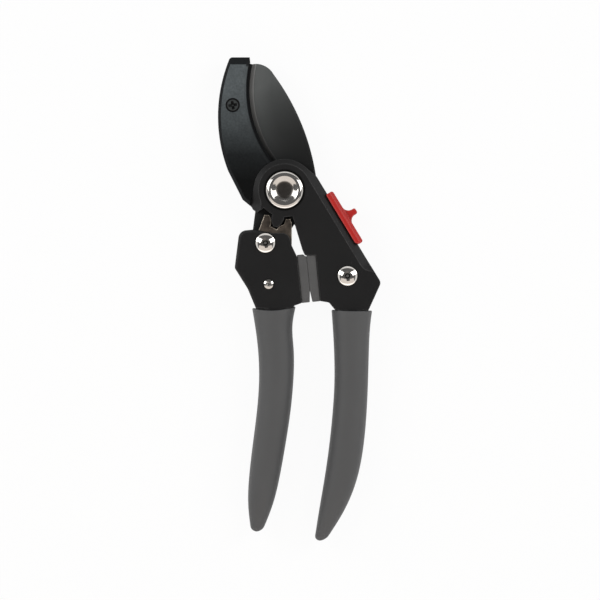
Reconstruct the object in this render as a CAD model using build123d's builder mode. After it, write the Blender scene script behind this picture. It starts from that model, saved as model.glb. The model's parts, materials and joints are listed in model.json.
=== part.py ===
"""Geared anvil pruning shears, shut, lying flat on their back.

Millimetres. +Z runs along the hinge axes, up through the front face, and +Y points to the tips of the jaws.
The origin is on the axis of the main pivot, in the plane that the shears rest on.
"""

from build123d import *

import os
from math import acos, atan2, cos, degrees, dist, hypot, radians, sin, sqrt, tan

# Layers, from the rest plane up through the front face
GRIP_WALL = 1.7
BACK_CHEEK = 3.2
JAW_PLATE = 3.2
WASHER = 0.5
BLADE_THICKNESS = 2.8
FRONT_CHEEK = 4.6
GEAR_PLATE = 2.6
RUN_GAP = 0.1

# Fits
PRESS_FIT = 0.02
TURN_FIT = 0.05
SEAT_FIT = 0.15
SWING_GAP = 0.4

# Main pivot
BARREL_RADIUS = 5.0
BUSHING_WALL = 1.3
WASHER_RIM = 3.8
PIVOT_HEAD_RADIUS = 8.45
PIVOT_RIM_RADIUS = 6.3
PIVOT_FLOOR_RADIUS = 3.5
PIVOT_RIM_HEIGHT = 1.2
PIVOT_SHANK_RADIUS = 3.0
PIVOT_NUT_ROUND = 0.6
HEAD_RECESS = 0.5

# Gear pair: one tooth on the right handle, two prongs on the plate in the left handle
HANDLE_PIVOT_ANGLE = -109.9
TOOTH_PITCH_RADIUS = 13.9
PLATE_PITCH_RADIUS = 10.4
PRESSURE_ANGLE = 27.0
INVOLUTE_START = 1.005
TOOTH_WIDTH = 4.9
PRONG_WIDTH = 3.8
BACKLASH = 0.3
TOOTH_HEIGHT = 2.5
PRONG_HEIGHT = 1.8
ROOT_GAP = 0.4
TOOTH_TURN = 6.0
TOOTH_BAY_LEFT = 35.7
TOOTH_BAY_RIGHT = 30.6
PRONG_TIP = (-0.5, 12.15)
PRONG_FOOT = (-5.2, -1.0)
HOOK_REACH = (8.8, 10.4)
HOOK_TOP = 2.0
HOOK_FOOT = -1.0
HOOK_FOOT_DRAW = 3.0
PLATE_EDGE = 11.4
PLATE_HUB_RADIUS = 5.4
OPEN_ANGLE = 20.0

# Blade
EDGE_TIP = (-14.437, 54.566)
EDGE_HEEL = (-5.451, 12.469)
EDGE_RADIUS = 52.0
BEVEL_WIDTH = 2.2
GRIND_RUN_OUT = 8.0
EDGE_LAND = 0.4
BLADE_TIP = (-9.6, 54.3)
SPINE_TOP = (-4.8, 50.3)
SPINE_MIDDLE = (7.1, 29.4)
SPINE_FOOT = (13.6, 6.2)
HUB_RADIUS = 11.4
ARM_END_RADIUS = 6.2

# Anvil jaw
ANVIL_GAP = 0.3
JAW_FACE_GAP = 0.7
JAW_TIP_TURN = 1.0
JAW_HEEL_TURN = 6.0
INSERT_LAP = 0.4
INSERT_DEPTH = 3.2
INSERT_WIDTH = 7.6
GROOVE_HALF_WIDTH = 0.9
TONGUE_THICKNESS = 3.0
TONGUE_HALF_ANGLE = 5.0
ANVIL_SCREW_AT = (-22.4, 36.7)
ANVIL_SCREW_HEAD_RADIUS = 3.1
ANVIL_SCREW_RADIUS = 1.5
ANVIL_SCREW_END = 2.0
ANVIL_HOLE_END = 1.5
ANVIL_CROSS_SPAN = 3.7
ANVIL_SCREW_TURN = 10.0
JAW_TOP = 57.5
JAW_CORNER = (-23.6, 57.5)
JAW_SHOULDER = (-24.6, 54.9)
JAW_BULGE = (-28.8, 31.0)
JAW_WAIST = (-24.5, 8.5)
JAW_FOOT = (-18.2, -4.0)
JAW_HEEL = (-14.0, -7.4)
JAW_BEVEL = 1.3
JAW_BEVEL_ANGLE = 45.0
JAW_CORNER_ROUND = 1.6
JAW_TOP_BEVEL = 3.2
JAW_TOP_BEVEL_DEPTH = 2.2
TANG_END_RADIUS = 5.3
JAW_SCREW_AT = (27.2, -37.1)

# Right handle
BOSS_RADIUS = 13.4
RIDGE_RADIUS = 11.3
BACK_EDGE = 14.9
HANDLE_LEAN = 31.25
EDGE_START = 2.2
EDGE_END = 55.8
RIDGE_END = 47.0
RIDGE_DROP = 1.5
RIDGE_WIDTH = 2.2
BEVEL_OVERRUN = 1.5
CORNER_ROUND = 2.5
EDGE_START_ROUND = 0.5
BOSS_SPUR = (-14.8, -6.3)
BOSS_SPUR_FOOT = (-13.9, -8.1)
BOSS_SPUR_TOP = 170.0
BOSS_SPUR_ROUND = 0.8
BAY_LAP = 1.0
HEAD_REACH = 15.3
INNER_EDGE_TOP = (4.4, -14.3)
INNER_EDGE_MIDDLE = (6.4, -22.8)
INNER_EDGE_FOOT = (8.8, -28.06)
INNER_EDGE_ROUND = 0.6

# Left handle, from the axis of its own pivot
LEFT_TOP = (-5.0, 5.8)
LEFT_SHOULDER = (-11.3, 5.2)
LEFT_CORNER = (-13.3, -10.8)
LEFT_HIP = (-7.6, -19.9)
LEFT_FRONT_EDGE = (3.3, 4.25)
LEFT_FRONT_CORNER = (9.9, 4.25)
LEFT_INNER_EDGE = (11.4, -1.2)
LEFT_TOP_ROUND = 0.8
SHOULDER_ROUND = 3.6
LEFT_CORNER_ROUND = 2.0
LEFT_HIP_ROUND = 6.0
LEFT_FRONT_ROUND = 3.5
LEFT_EDGE_ROUND = 1.2
PLATE_PIN_AT = (1.4, -17.8)
PLATE_PIN_RADIUS = 1.25
PLATE_PIN_HEAD_RADIUS = 2.05
PLATE_PIN_HEAD = 0.9
PLATE_PIN_DOME = 0.54
PLATE_TAIL_RADIUS = 4.0

# Return spring
SPRING_RADIUS = 4.9
SPRING_WIRE = 0.9
SPRING_PITCH = 1.35
SPRING_TURNS = 2
SPRING_ROOM = 0.6

# Rubber bumpers, either side of the line where they meet
CLOSING_TOP = (9.45, -28.5)
CLOSING_LEAN = 5.8
BUMPER_GAP = 0.1
BUMPER_DEPTH = 4.0
BUMPER_LENGTH = 20.0
BUMPER_FACE = 15.0
BUMPER_TOE = 0.6
BUMPER_CORNER_ROUND = 0.6
BUMPER_EDGE_ROUND = 0.5
BUMPER_SINK = 1.6
BUMPER_TONGUE = 2.0
BUMPER_TONGUE_ROOT = 0.5
BUMPER_TONGUE_TOP = 8.5
BUMPER_TONGUE_END = 17.0
BUMPER_TONGUE_THICKNESS = 3.0
SEAT_END = 0.05
SEAT_ROUND = 0.4
SEAT_FOOT_ROUND = 1.5
RIGHT_SEAT_FOOT = (1.0, 3.7)
LEFT_SEAT_FOOT = (0.8, 3.2)

# Grips: distance below the pivot, middle, width and thickness of each section
GRIP_THICKNESS = 18.4
GRIP_PALM_THINNING = 0.3
GRIP_HEEL_THINNING = 1.4
GRIP_TAPER_THINNING = 4.6
GRIP_END_THINNING = 11.0
RIGHT_GRIP = [
    (52.0, 29.15, 17.6, GRIP_THICKNESS),
    (58.0, 29.0, 16.4, GRIP_THICKNESS),
    (70.0, 29.0, 15.1, GRIP_THICKNESS),
    (84.0, 28.85, 14.6, GRIP_THICKNESS),
    (98.0, 28.05, 14.8, GRIP_THICKNESS),
    (112.0, 26.6, 14.9, GRIP_THICKNESS - GRIP_PALM_THINNING),
    (126.0, 24.1, 14.0, GRIP_THICKNESS - GRIP_HEEL_THINNING),
    (139.0, 20.3, 10.8, GRIP_THICKNESS - GRIP_TAPER_THINNING),
    (151.8, 15.3, 4.8, GRIP_THICKNESS - GRIP_END_THINNING),
]
LEFT_GRIP = [
    (28.3, 3.62, 18.9, GRIP_THICKNESS),
    (34.0, 3.5, 16.7, GRIP_THICKNESS),
    (46.0, 4.45, 15.5, GRIP_THICKNESS),
    (60.0, 4.6, 14.9, GRIP_THICKNESS),
    (74.0, 3.4, 14.6, GRIP_THICKNESS),
    (88.0, 1.45, 14.2, GRIP_THICKNESS - GRIP_PALM_THINNING),
    (101.0, -0.45, 13.3, GRIP_THICKNESS - GRIP_HEEL_THINNING),
    (113.0, -2.15, 10.8, GRIP_THICKNESS - GRIP_TAPER_THINNING),
    (125.0, -3.85, 4.8, GRIP_THICKNESS - GRIP_END_THINNING),
]
GRIP_ROUNDNESS = 0.42
GRIP_END_ROUND = 1.6
GRIP_FIT = 0.1
CORE_SECTION_COUNT = 7

# Lock
LOCK_TOP = 11.0
LOCK_LENGTH = 25.6
LOCK_PROUD = 2.7
LOCK_LAP = 0.7
LOCK_LIP = 0.9
LOCK_CREASE = 1.3
LOCK_BURY = 0.5
LIP_ROUND = 0.3
CREASE_ROUND = 0.5
LOCK_EDGE_ROUND = 0.8
LOCK_TOP_ROUND = 0.6
LOCK_OUTER_ROUND = 1.0
LOCK_FOOT_ROUND = 2.0
LOCK_GAP = 0.3
LOCK_TRAVEL = 6.0
TAB_MIDDLE = 12.5
TAB_REACH = 7.1
TAB_TIP = 2.6
TAB_TIP_ROUND = 0.8
TAB_ROOT_ROUND = 3.0
TAB_THICKNESS = 8.0
CHANNEL_DEPTH = 3.4
CHANNEL_GAP = 0.15
RIB_END = 2.0
BOLT_LENGTH = 11.0
BOLT_LEAD = 2.4
BOLT_ROUND = 0.6
BOLT_PEG_RADIUS = 1.0
BOLT_PEG_AT = 4.0

# Cross-head screws and their barrel nuts
SCREW_HEAD_RADIUS = 4.15
SCREW_HEAD = 2.2
SCREW_DOME = 1.54
SCREW_RADIUS = 2.0
JAW_SCREW_TURN = 20.0
HANDLE_SCREW_TURN = 40.0
COUNTERSINK_ANGLE = 45.0
NUT_BARREL_RADIUS = 3.0
NUT_FLANGE = 1.3
NUT_FLANGE_RADIUS = 4.6
NUT_CHAMFER = 0.4
ARM_BUSHING_WALL = 1.1
CROSS_SLOT = 0.9
CROSS_SPAN = 4.4
CROSS_DEPTH = 1.2
CROSS_TAPER = 8.0

# Heights of the layers
back_z = GRIP_WALL
jaw_z = back_z + BACK_CHEEK
rear_washer_z = jaw_z + JAW_PLATE
blade_z = rear_washer_z + WASHER + RUN_GAP
blade_top_z = blade_z + BLADE_THICKNESS
blade_mid_z = blade_z + BLADE_THICKNESS / 2
front_washer_z = blade_top_z + RUN_GAP
front_cheek_z = front_washer_z + WASHER
front_z = front_cheek_z + FRONT_CHEEK
frame_mid_z = (back_z + front_z) / 2
grip_mid_z = GRIP_THICKNESS / 2
jaw_top_z = 2 * blade_mid_z - jaw_z
gear_z = front_washer_z + RUN_GAP
gear_top_z = gear_z + GEAR_PLATE

# Places of the pivots and sizes of the gear pair
centre_distance = TOOTH_PITCH_RADIUS + PLATE_PITCH_RADIUS
gear_ratio = TOOTH_PITCH_RADIUS / PLATE_PITCH_RADIUS
tooth_tip_radius = TOOTH_PITCH_RADIUS + TOOTH_HEIGHT
prong_tip_radius = PLATE_PITCH_RADIUS + PRONG_HEIGHT
tooth_root_radius = centre_distance - prong_tip_radius - ROOT_GAP
prong_root_radius = centre_distance - tooth_tip_radius - ROOT_GAP
tooth_angle = HANDLE_PIVOT_ANGLE + TOOTH_TURN
plate_gap_angle = HANDLE_PIVOT_ANGLE + 180 - TOOTH_TURN * gear_ratio
prong_offset = degrees((TOOTH_WIDTH + PRONG_WIDTH + BACKLASH) / 2 / PLATE_PITCH_RADIUS)


def polar(radius, angle, centre=(0, 0)):
    """Point at a radius and an angle in degrees about a centre."""
    return (centre[0] + radius * cos(radians(angle)), centre[1] + radius * sin(radians(angle)))


def moved(point, by):
    """Point shifted by another point."""
    return (point[0] + by[0], point[1] + by[1])


left_pivot = polar(centre_distance, HANDLE_PIVOT_ANGLE)

# Centre of the cutting edge's arc, on the side away from the jaw
edge_chord = dist(EDGE_TIP, EDGE_HEEL)
edge_sweep = ((EDGE_HEEL[0] - EDGE_TIP[0]) / edge_chord, (EDGE_HEEL[1] - EDGE_TIP[1]) / edge_chord)
edge_stand = sqrt(EDGE_RADIUS**2 - edge_chord**2 / 4)
edge_centre = (
    (EDGE_TIP[0] + EDGE_HEEL[0]) / 2 - edge_stand * edge_sweep[1],
    (EDGE_TIP[1] + EDGE_HEEL[1]) / 2 + edge_stand * edge_sweep[0],
)


def from_left_pivot(point):
    """Point of the left handle, whose outline is given from the axis of its own pivot."""
    return moved(left_pivot, point)


def on_right_handle(along, out):
    """Point at a distance down the right handle's straight back edge and out from the pivot's axis."""
    lean = radians(HANDLE_LEAN)
    return (along * sin(lean) + out * cos(lean), -along * cos(lean) + out * sin(lean))


def at_closing_line(down, right):
    """Point down the line where the bumpers meet, and to the right of it."""
    lean = radians(CLOSING_LEAN)
    return moved(CLOSING_TOP, (down * sin(lean) + right * cos(lean), -down * cos(lean) + right * sin(lean)))


def on_edge(angle, behind=0.0):
    """Point on the cutting edge's arc, or behind it in the anvil jaw."""
    return polar(EDGE_RADIUS + behind, angle, edge_centre)


def edge_angle(point):
    """Angle of a point about the centre of the cutting edge's arc, from 0 to 360 degrees."""
    return degrees(atan2(point[1] - edge_centre[1], point[0] - edge_centre[0])) % 360


def layer(shape, bottom, top, mode=Mode.ADD):
    """Extrude a flat shape between two heights, in the part block that is open."""
    with BuildSketch(Plane.XY.offset(bottom)) as flat:
        add(shape)
    extrude(flat.sketch, amount=top - bottom, dir=(0, 0, 1), mode=mode)


def disc(centre, radius):
    """Flat round shape."""
    with BuildSketch() as flat:
        with Locations(centre):
            Circle(radius)
    return flat.sketch


def taper_bar(start, start_radius, end, end_radius):
    """Flat shape of a bar between two round ends."""
    with BuildSketch() as flat:
        with Locations(start):
            Circle(start_radius)
        with Locations(end):
            Circle(end_radius)
        make_hull()
    return flat.sketch


def rounded_shape(points, radii):
    """Closed flat shape with a radius at each corner."""
    with BuildSketch() as flat:
        with BuildLine():
            FilletPolyline(points, radius=radii, close=True)
        make_face()
    return flat.sketch


def grown(shape, by):
    """Flat shape grown by a clearance."""
    with BuildSketch() as flat:
        add(shape)
        offset(amount=by)
    return flat.sketch


def joined(*shapes):
    """Union of flat shapes."""
    with BuildSketch() as flat:
        for shape in shapes:
            add(shape)
    return flat.sketch


def cut_away(shape, *cutters):
    """Flat shape with other flat shapes cut out of it."""
    with BuildSketch() as flat:
        add(shape)
        for cutter in cutters:
            add(cutter, mode=Mode.SUBTRACT)
    return flat.sketch


def bay(centre, inner, outer, start_angle, end_angle):
    """Flat ring segment between two angles."""
    with BuildSketch() as flat:
        with BuildLine():
            middle = (start_angle + end_angle) / 2
            near = ThreePointArc(*[polar(inner, a, centre) for a in (start_angle, middle, end_angle)])
            far = ThreePointArc(*[polar(outer, a, centre) for a in (start_angle, middle, end_angle)])
            Line(near @ 0, far @ 0)
            Line(near @ 1, far @ 1)
        make_face()
    return flat.sketch


def involute(radius, base_radius):
    """Angle in degrees that an involute has turned through at a radius, nothing inside its base circle."""
    if radius <= base_radius:
        return 0.0
    pressure = acos(base_radius / radius)
    return degrees(tan(pressure) - pressure)


def flank(pitch_radius, width, root, tip, side):
    """Points of a tooth's flank from root to tip, as radius and angle from the middle of the tooth."""
    base_radius = pitch_radius * cos(radians(PRESSURE_ANGLE))
    half_at_base = degrees(width / 2 / pitch_radius) + involute(pitch_radius, base_radius)
    steps = [root, max(root, base_radius) * INVOLUTE_START, pitch_radius, (pitch_radius + tip) / 2, tip]
    return [(radius, side * (half_at_base - involute(radius, base_radius))) for radius in steps]


def tooth(centre, angle, pitch_radius, width, root, tip):
    """Flat involute tooth that stands on a root circle."""
    left = [polar(r, angle + a, centre) for r, a in flank(pitch_radius, width, root, tip, 1)]
    right = [polar(r, angle + a, centre) for r, a in flank(pitch_radius, width, root, tip, -1)]
    with BuildSketch() as flat:
        with BuildLine():
            Spline(*left)
            ThreePointArc(left[-1], polar(tip, angle, centre), right[-1])
            Spline(*right)
            Polyline(right[0], centre, left[0])
        make_face()
    return flat.sketch


# Flat shapes that two pieces share

tip_angle = edge_angle(EDGE_TIP)
heel_angle = edge_angle(EDGE_HEEL)
middle_angle = (tip_angle + heel_angle) / 2

with BuildSketch() as jaw_head:
    with BuildLine():
        jaw_angles = (tip_angle - JAW_TIP_TURN, middle_angle, heel_angle + JAW_HEEL_TURN)
        inner = ThreePointArc(*[on_edge(a, JAW_FACE_GAP) for a in jaw_angles])
        Polyline(inner @ 0, (on_edge(tip_angle, JAW_FACE_GAP)[0], JAW_TOP), JAW_CORNER, JAW_SHOULDER)
        ThreePointArc(JAW_SHOULDER, JAW_BULGE, JAW_WAIST)
        Polyline(JAW_WAIST, JAW_FOOT, JAW_HEEL, (0, 0), inner @ 1)
    make_face()
    fillet(jaw_head.vertices().group_by(Axis.Y)[-1].sort_by(Axis.X)[0], JAW_CORNER_ROUND)

tang_bar = taper_bar((0, 0), TANG_END_RADIUS, JAW_SCREW_AT, TANG_END_RADIUS)
tang = joined(disc((0, 0), HUB_RADIUS), tang_bar)
jaw_plate = joined(jaw_head.sketch, tang)

arm = taper_bar((0, 0), HUB_RADIUS, left_pivot, ARM_END_RADIUS)

with BuildSketch() as blade_outline:
    with BuildLine():
        cutting_edge = ThreePointArc(*[on_edge(a) for a in (tip_angle, middle_angle, heel_angle)])
        ThreePointArc(cutting_edge @ 0, BLADE_TIP, SPINE_TOP)
        ThreePointArc(SPINE_TOP, SPINE_MIDDLE, SPINE_FOOT)
        Polyline(SPINE_FOOT, (0, 0), cutting_edge @ 1)
    make_face()

closed_arm_room = grown(arm, SWING_GAP)
with BuildSketch() as open_arm_room:
    add(closed_arm_room, rotation=-OPEN_ANGLE)

seat_right = BUMPER_GAP / 2 + BUMPER_DEPTH
mouth_drop, mouth_middle, mouth_width = RIGHT_GRIP[0][:3]
right_mouth = mouth_width / 2 - GRIP_WALL
right_mouth_y = -mouth_drop

# Outline of the right handle's head and of the flat stretch above its grip
edge_top = on_right_handle(EDGE_START, BACK_EDGE)
boss_tangent = degrees(atan2(edge_top[1], edge_top[0]))
boss_tangent += degrees(acos(BOSS_RADIUS / hypot(EDGE_START, BACK_EDGE)))
right_body = rounded_shape(
    [
        polar(BOSS_RADIUS, boss_tangent),
        edge_top,
        on_right_handle(EDGE_END, BACK_EDGE),
        (mouth_middle + right_mouth, right_mouth_y),
        (mouth_middle - right_mouth, right_mouth_y),
        at_closing_line(BUMPER_LENGTH + RIGHT_SEAT_FOOT[0], seat_right + RIGHT_SEAT_FOOT[1]),
        at_closing_line(BUMPER_LENGTH, seat_right),
        at_closing_line(-SEAT_END, seat_right),
        INNER_EDGE_FOOT,
        INNER_EDGE_MIDDLE,
        INNER_EDGE_TOP,
        (0, 0),
    ],
    [
        0,
        EDGE_START_ROUND,
        CORNER_ROUND,
        0,
        0,
        SEAT_FOOT_ROUND,
        SEAT_ROUND,
        SEAT_ROUND,
        INNER_EDGE_ROUND,
        0,
        0,
        0,
    ],
)
boss_spur = rounded_shape(
    [
        (0, 0),
        polar(BOSS_RADIUS, BOSS_SPUR_TOP),
        BOSS_SPUR,
        BOSS_SPUR_FOOT,
        polar(HEAD_REACH, tooth_angle - TOOTH_BAY_LEFT - BAY_LAP),
    ],
    [0, 0, BOSS_SPUR_ROUND, 0, 0],
)
right_outline = joined(disc((0, 0), BOSS_RADIUS), right_body, boss_spur)


def grip_solid(sections, pivot, inset):
    """Solid lofted through the grip's sections, drawn in by an inset on every side."""
    with BuildPart() as body:
        for drop, middle, width, thick in sections:
            wide = width - 2 * inset
            high = thick - 2 * inset
            with BuildSketch(Plane.XZ.offset(drop - pivot[1])):
                with Locations((pivot[0] + middle, grip_mid_z)):
                    RectangleRounded(wide, high, GRIP_ROUNDNESS * min(wide, high))
        loft()
    return body.part


def grip_sleeve(sections, pivot):
    """Soft sleeve pressed over a handle's core, closed at its end."""
    with BuildPart() as sleeve:
        add(grip_solid(sections, pivot, 0.0))
        fillet(sleeve.faces().sort_by(Axis.Y)[0].edges(), GRIP_END_ROUND)
        add(grip_solid(sections[:CORE_SECTION_COUNT], pivot, GRIP_WALL - GRIP_FIT), mode=Mode.SUBTRACT)
    return sleeve.part


def bumper_shape(side, depth, grow=0.0):
    """Flat shape of a bumper: a pad whose lower end draws back from the line where the two meet."""
    face = side * BUMPER_GAP / 2
    back = side * (BUMPER_GAP / 2 + depth + grow)
    toe = side * (BUMPER_GAP / 2 + BUMPER_TOE)
    corners = [(0, back), (0, face), (BUMPER_FACE, face), (BUMPER_LENGTH, toe), (BUMPER_LENGTH, back)]
    radii = [BUMPER_CORNER_ROUND, BUMPER_CORNER_ROUND, 0, BUMPER_CORNER_ROUND, 0]
    return rounded_shape([at_closing_line(down, right) for down, right in corners], radii)


def bumper_tongue(side, grow=0.0):
    """Flat shape of the tongue that holds a bumper in its handle."""
    near = side * (seat_right - BUMPER_TONGUE_ROOT)
    far = side * (seat_right + BUMPER_TONGUE + grow)
    ends = (BUMPER_TONGUE_TOP - grow, BUMPER_TONGUE_END + grow)
    corners = [(ends[0], near), (ends[1], near), (ends[1], far), (ends[0], far)]
    return rounded_shape([at_closing_line(down, right) for down, right in corners], 0)


def bumper(side):
    """Rubber stop pad with a tongue on its back."""
    with BuildPart() as pad:
        layer(bumper_shape(side, BUMPER_DEPTH), back_z + BUMPER_SINK, front_z - BUMPER_SINK)
        rims = pad.faces().filter_by(Axis.Z).edges()
        fillet(rims.filter_by(lambda e: e.length > BUMPER_DEPTH / 2), BUMPER_EDGE_ROUND)
        tongue_half = BUMPER_TONGUE_THICKNESS / 2
        layer(bumper_tongue(side), frame_mid_z - tongue_half, frame_mid_z + tongue_half)
    return pad.part


def bumper_slot(side):
    """Slot in a handle for a bumper's tongue, cut in the part block that is open."""
    half = BUMPER_TONGUE_THICKNESS / 2 + SEAT_FIT
    layer(bumper_tongue(side, SEAT_FIT), frame_mid_z - half, frame_mid_z + half, Mode.SUBTRACT)


def barrel_nut(at, top):
    """Barrel nut with a round flange on the back of a handle, bored for its screw."""
    with BuildPart() as nut:
        layer(disc(at, NUT_FLANGE_RADIUS), back_z - NUT_FLANGE, back_z)
        chamfer(nut.faces().sort_by(Axis.Z)[0].edges(), NUT_CHAMFER)
        layer(disc(at, NUT_BARREL_RADIUS), back_z, top)
        layer(disc(at, SCREW_RADIUS + PRESS_FIT), back_z, top, Mode.SUBTRACT)
    return nut.part


def cross_recess(at, top, span, turn=0.0):
    """Cross recess in a screw's head, cut in the part block that is open."""
    with BuildSketch(Plane.XY.offset(top)) as cross:
        with Locations(Location((at[0], at[1], 0), (0, 0, turn))):
            Rectangle(span, CROSS_SLOT)
            Rectangle(CROSS_SLOT, span)
    extrude(cross.sketch, amount=-CROSS_DEPTH, taper=CROSS_TAPER, mode=Mode.SUBTRACT)


def pan_screw(at, seat, turn):
    """Cross-head screw with a domed head, its shank down in a barrel nut."""
    with BuildPart() as screw:
        layer(disc(at, SCREW_HEAD_RADIUS), seat, seat + SCREW_HEAD)
        fillet(screw.faces().sort_by(Axis.Z)[-1].edges(), SCREW_DOME)
        layer(disc(at, SCREW_RADIUS), back_z + SEAT_FIT, seat)
        cross_recess(at, seat + SCREW_HEAD, CROSS_SPAN, turn)
    return screw.part


def bushing(at, inner, wall):
    """Plain bearing pressed in the blade."""
    with BuildPart() as ring:
        layer(disc(at, inner + wall), blade_z, blade_top_z)
        layer(disc(at, inner), blade_z, blade_top_z, Mode.SUBTRACT)
    return ring.part


def thrust_washer(bottom):
    """Thrust washer on the main pivot."""
    with BuildPart() as ring:
        layer(disc((0, 0), BARREL_RADIUS + WASHER_RIM), bottom, bottom + WASHER)
        layer(disc((0, 0), BARREL_RADIUS + TURN_FIT), bottom, bottom + WASHER, Mode.SUBTRACT)
    return ring.part


# Bevel round the head and down the back edge of the right handle, front and back

bevel_slope = RIDGE_DROP / RIDGE_WIDTH
bevel_reach = BEVEL_OVERRUN * (BACK_EDGE - RIDGE_RADIUS)
bevel_depth = bevel_slope * bevel_reach
below_grip = right_mouth_y - 2 * bevel_reach
with BuildSketch() as ridge:
    Circle(RIDGE_RADIUS)
    with BuildLine():
        Polyline(
            (0, 0),
            on_right_handle(0, RIDGE_RADIUS),
            on_right_handle(RIDGE_END, RIDGE_RADIUS),
            on_right_handle(EDGE_END, BACK_EDGE + bevel_reach),
            (mouth_middle + mouth_width, below_grip),
            (BOSS_SPUR[0] - mouth_width, below_grip),
            polar(RIDGE_RADIUS + 2 * bevel_reach, tooth_angle - TOOTH_BAY_LEFT),
            polar(RIDGE_RADIUS, tooth_angle - TOOTH_BAY_LEFT),
            close=True,
        )
    make_face()

with BuildPart() as front_bevel:
    layer(grown(right_outline, SWING_GAP), front_z - bevel_depth, front_z)
    with BuildSketch(Plane.XY.offset(front_z - bevel_depth)) as crown:
        add(grown(ridge.sketch, bevel_reach))
    ridge_taper = degrees(atan2(RIDGE_WIDTH, RIDGE_DROP))
    extrude(crown.sketch, amount=bevel_depth, taper=ridge_taper, mode=Mode.SUBTRACT)

with BuildPart() as back_bevel:
    mirror(front_bevel.part, about=Plane.XY.offset(frame_mid_z))

# Right handle

hub_room = disc((0, 0), dist((0, 0), SPINE_FOOT) + SWING_GAP)
bay_angles = (tooth_angle - TOOTH_BAY_LEFT, tooth_angle + TOOTH_BAY_RIGHT)
channel_half = BLADE_THICKNESS / 2 + CHANNEL_GAP
channel_end = LOCK_TOP + LOCK_LENGTH + LOCK_TRAVEL
lock_channel = rounded_shape(
    [
        on_right_handle(EDGE_START, BACK_EDGE + CHANNEL_GAP),
        on_right_handle(channel_end, BACK_EDGE + CHANNEL_GAP),
        on_right_handle(channel_end, BACK_EDGE - CHANNEL_DEPTH),
        on_right_handle(EDGE_START, BACK_EDGE - CHANNEL_DEPTH),
    ],
    0,
)

fixed_tooth = tooth(
    (0, 0), tooth_angle, TOOTH_PITCH_RADIUS, TOOTH_WIDTH, tooth_root_radius, tooth_tip_radius
)
tang_end_room = grown(disc(JAW_SCREW_AT, TANG_END_RADIUS), SEAT_FIT)
back_shape = cut_away(right_outline, bay((0, 0), BOSS_RADIUS, 2 * HEAD_REACH, *bay_angles))
tang_shape = cut_away(back_shape, grown(jaw_plate, SEAT_FIT))
blade_shape = cut_away(back_shape, hub_room, closed_arm_room, open_arm_room.sketch, tang_end_room)
head_shape = cut_away(right_outline, bay((0, 0), tooth_root_radius, 2 * HEAD_REACH, *bay_angles))

with BuildPart() as right_handle_frame:
    layer(back_shape, back_z, jaw_z)
    layer(tang_shape, jaw_z, rear_washer_z)
    layer(blade_shape, rear_washer_z, front_cheek_z)
    layer(joined(head_shape, fixed_tooth), front_cheek_z, front_z)
    add(front_bevel.part, mode=Mode.SUBTRACT)
    add(back_bevel.part, mode=Mode.SUBTRACT)
    layer(lock_channel, blade_mid_z - channel_half, blade_mid_z + channel_half, Mode.SUBTRACT)
    bumper_slot(1)
    layer(disc((0, 0), BARREL_RADIUS + TURN_FIT), back_z, front_z, Mode.SUBTRACT)
    layer(disc((0, 0), PIVOT_HEAD_RADIUS + SEAT_FIT), front_z - HEAD_RECESS, front_z, Mode.SUBTRACT)
    layer(disc(JAW_SCREW_AT, NUT_BARREL_RADIUS + PRESS_FIT), back_z, front_z, Mode.SUBTRACT)
    layer(disc(JAW_SCREW_AT, SCREW_HEAD_RADIUS + SEAT_FIT), front_z - HEAD_RECESS, front_z, Mode.SUBTRACT)
    add(grip_solid(RIGHT_GRIP[:CORE_SECTION_COUNT], (0, 0), GRIP_WALL))
right_handle_frame.part.label = "right_handle_frame"

right_grip = grip_sleeve(RIGHT_GRIP, (0, 0))
right_grip.label = "right_grip"

right_bumper = bumper(1)
right_bumper.label = "right_bumper"

# Anvil jaw and what it holds

tongue_angle = edge_angle(ANVIL_SCREW_AT)
screw_behind = dist(ANVIL_SCREW_AT, edge_centre) - EDGE_RADIUS
strip_angles = (tip_angle, heel_angle)
tongue_angles = (tongue_angle - TONGUE_HALF_ANGLE, tongue_angle + TONGUE_HALF_ANGLE)
tongue_behind = screw_behind + ANVIL_SCREW_HEAD_RADIUS


def anvil_strip(inner_radius, grow=0.0):
    """Flat shape of the strip that the blade closes on, from a radius back into the jaw."""
    outer_radius = EDGE_RADIUS + ANVIL_GAP + INSERT_DEPTH + grow
    turn = degrees(grow / EDGE_RADIUS)
    return bay(edge_centre, inner_radius, outer_radius, strip_angles[0] - turn, strip_angles[1] + turn)


def anvil_tongue(grow):
    """Flat shape of the tongue that the anvil screw passes through."""
    inner_radius = EDGE_RADIUS + ANVIL_GAP + INSERT_DEPTH / 2
    outer_radius = EDGE_RADIUS + tongue_behind + grow
    turn = degrees(grow / EDGE_RADIUS)
    return bay(edge_centre, inner_radius, outer_radius, tongue_angles[0] - turn, tongue_angles[1] + turn)


head_room = grown(joined(disc((0, 0), BOSS_RADIUS), boss_spur), SEAT_FIT)
strip_low_z = blade_mid_z - INSERT_WIDTH / 2
strip_high_z = blade_mid_z + INSERT_WIDTH / 2
groove_low_z = blade_mid_z - GROOVE_HALF_WIDTH
groove_high_z = blade_mid_z + GROOVE_HALF_WIDTH
lip_strip = cut_away(anvil_strip(EDGE_RADIUS - INSERT_LAP), head_room)
groove_strip = cut_away(anvil_strip(EDGE_RADIUS + ANVIL_GAP), head_room)

with BuildPart() as anvil_insert:
    layer(lip_strip, strip_low_z, groove_low_z)
    layer(groove_strip, groove_low_z, groove_high_z)
    layer(lip_strip, groove_high_z, strip_high_z)
    layer(anvil_tongue(0), blade_mid_z - TONGUE_THICKNESS / 2, blade_mid_z + TONGUE_THICKNESS / 2)
    layer(disc(ANVIL_SCREW_AT, ANVIL_SCREW_RADIUS + TURN_FIT), jaw_z, jaw_top_z, Mode.SUBTRACT)
anvil_insert.part.label = "anvil_insert"

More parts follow.
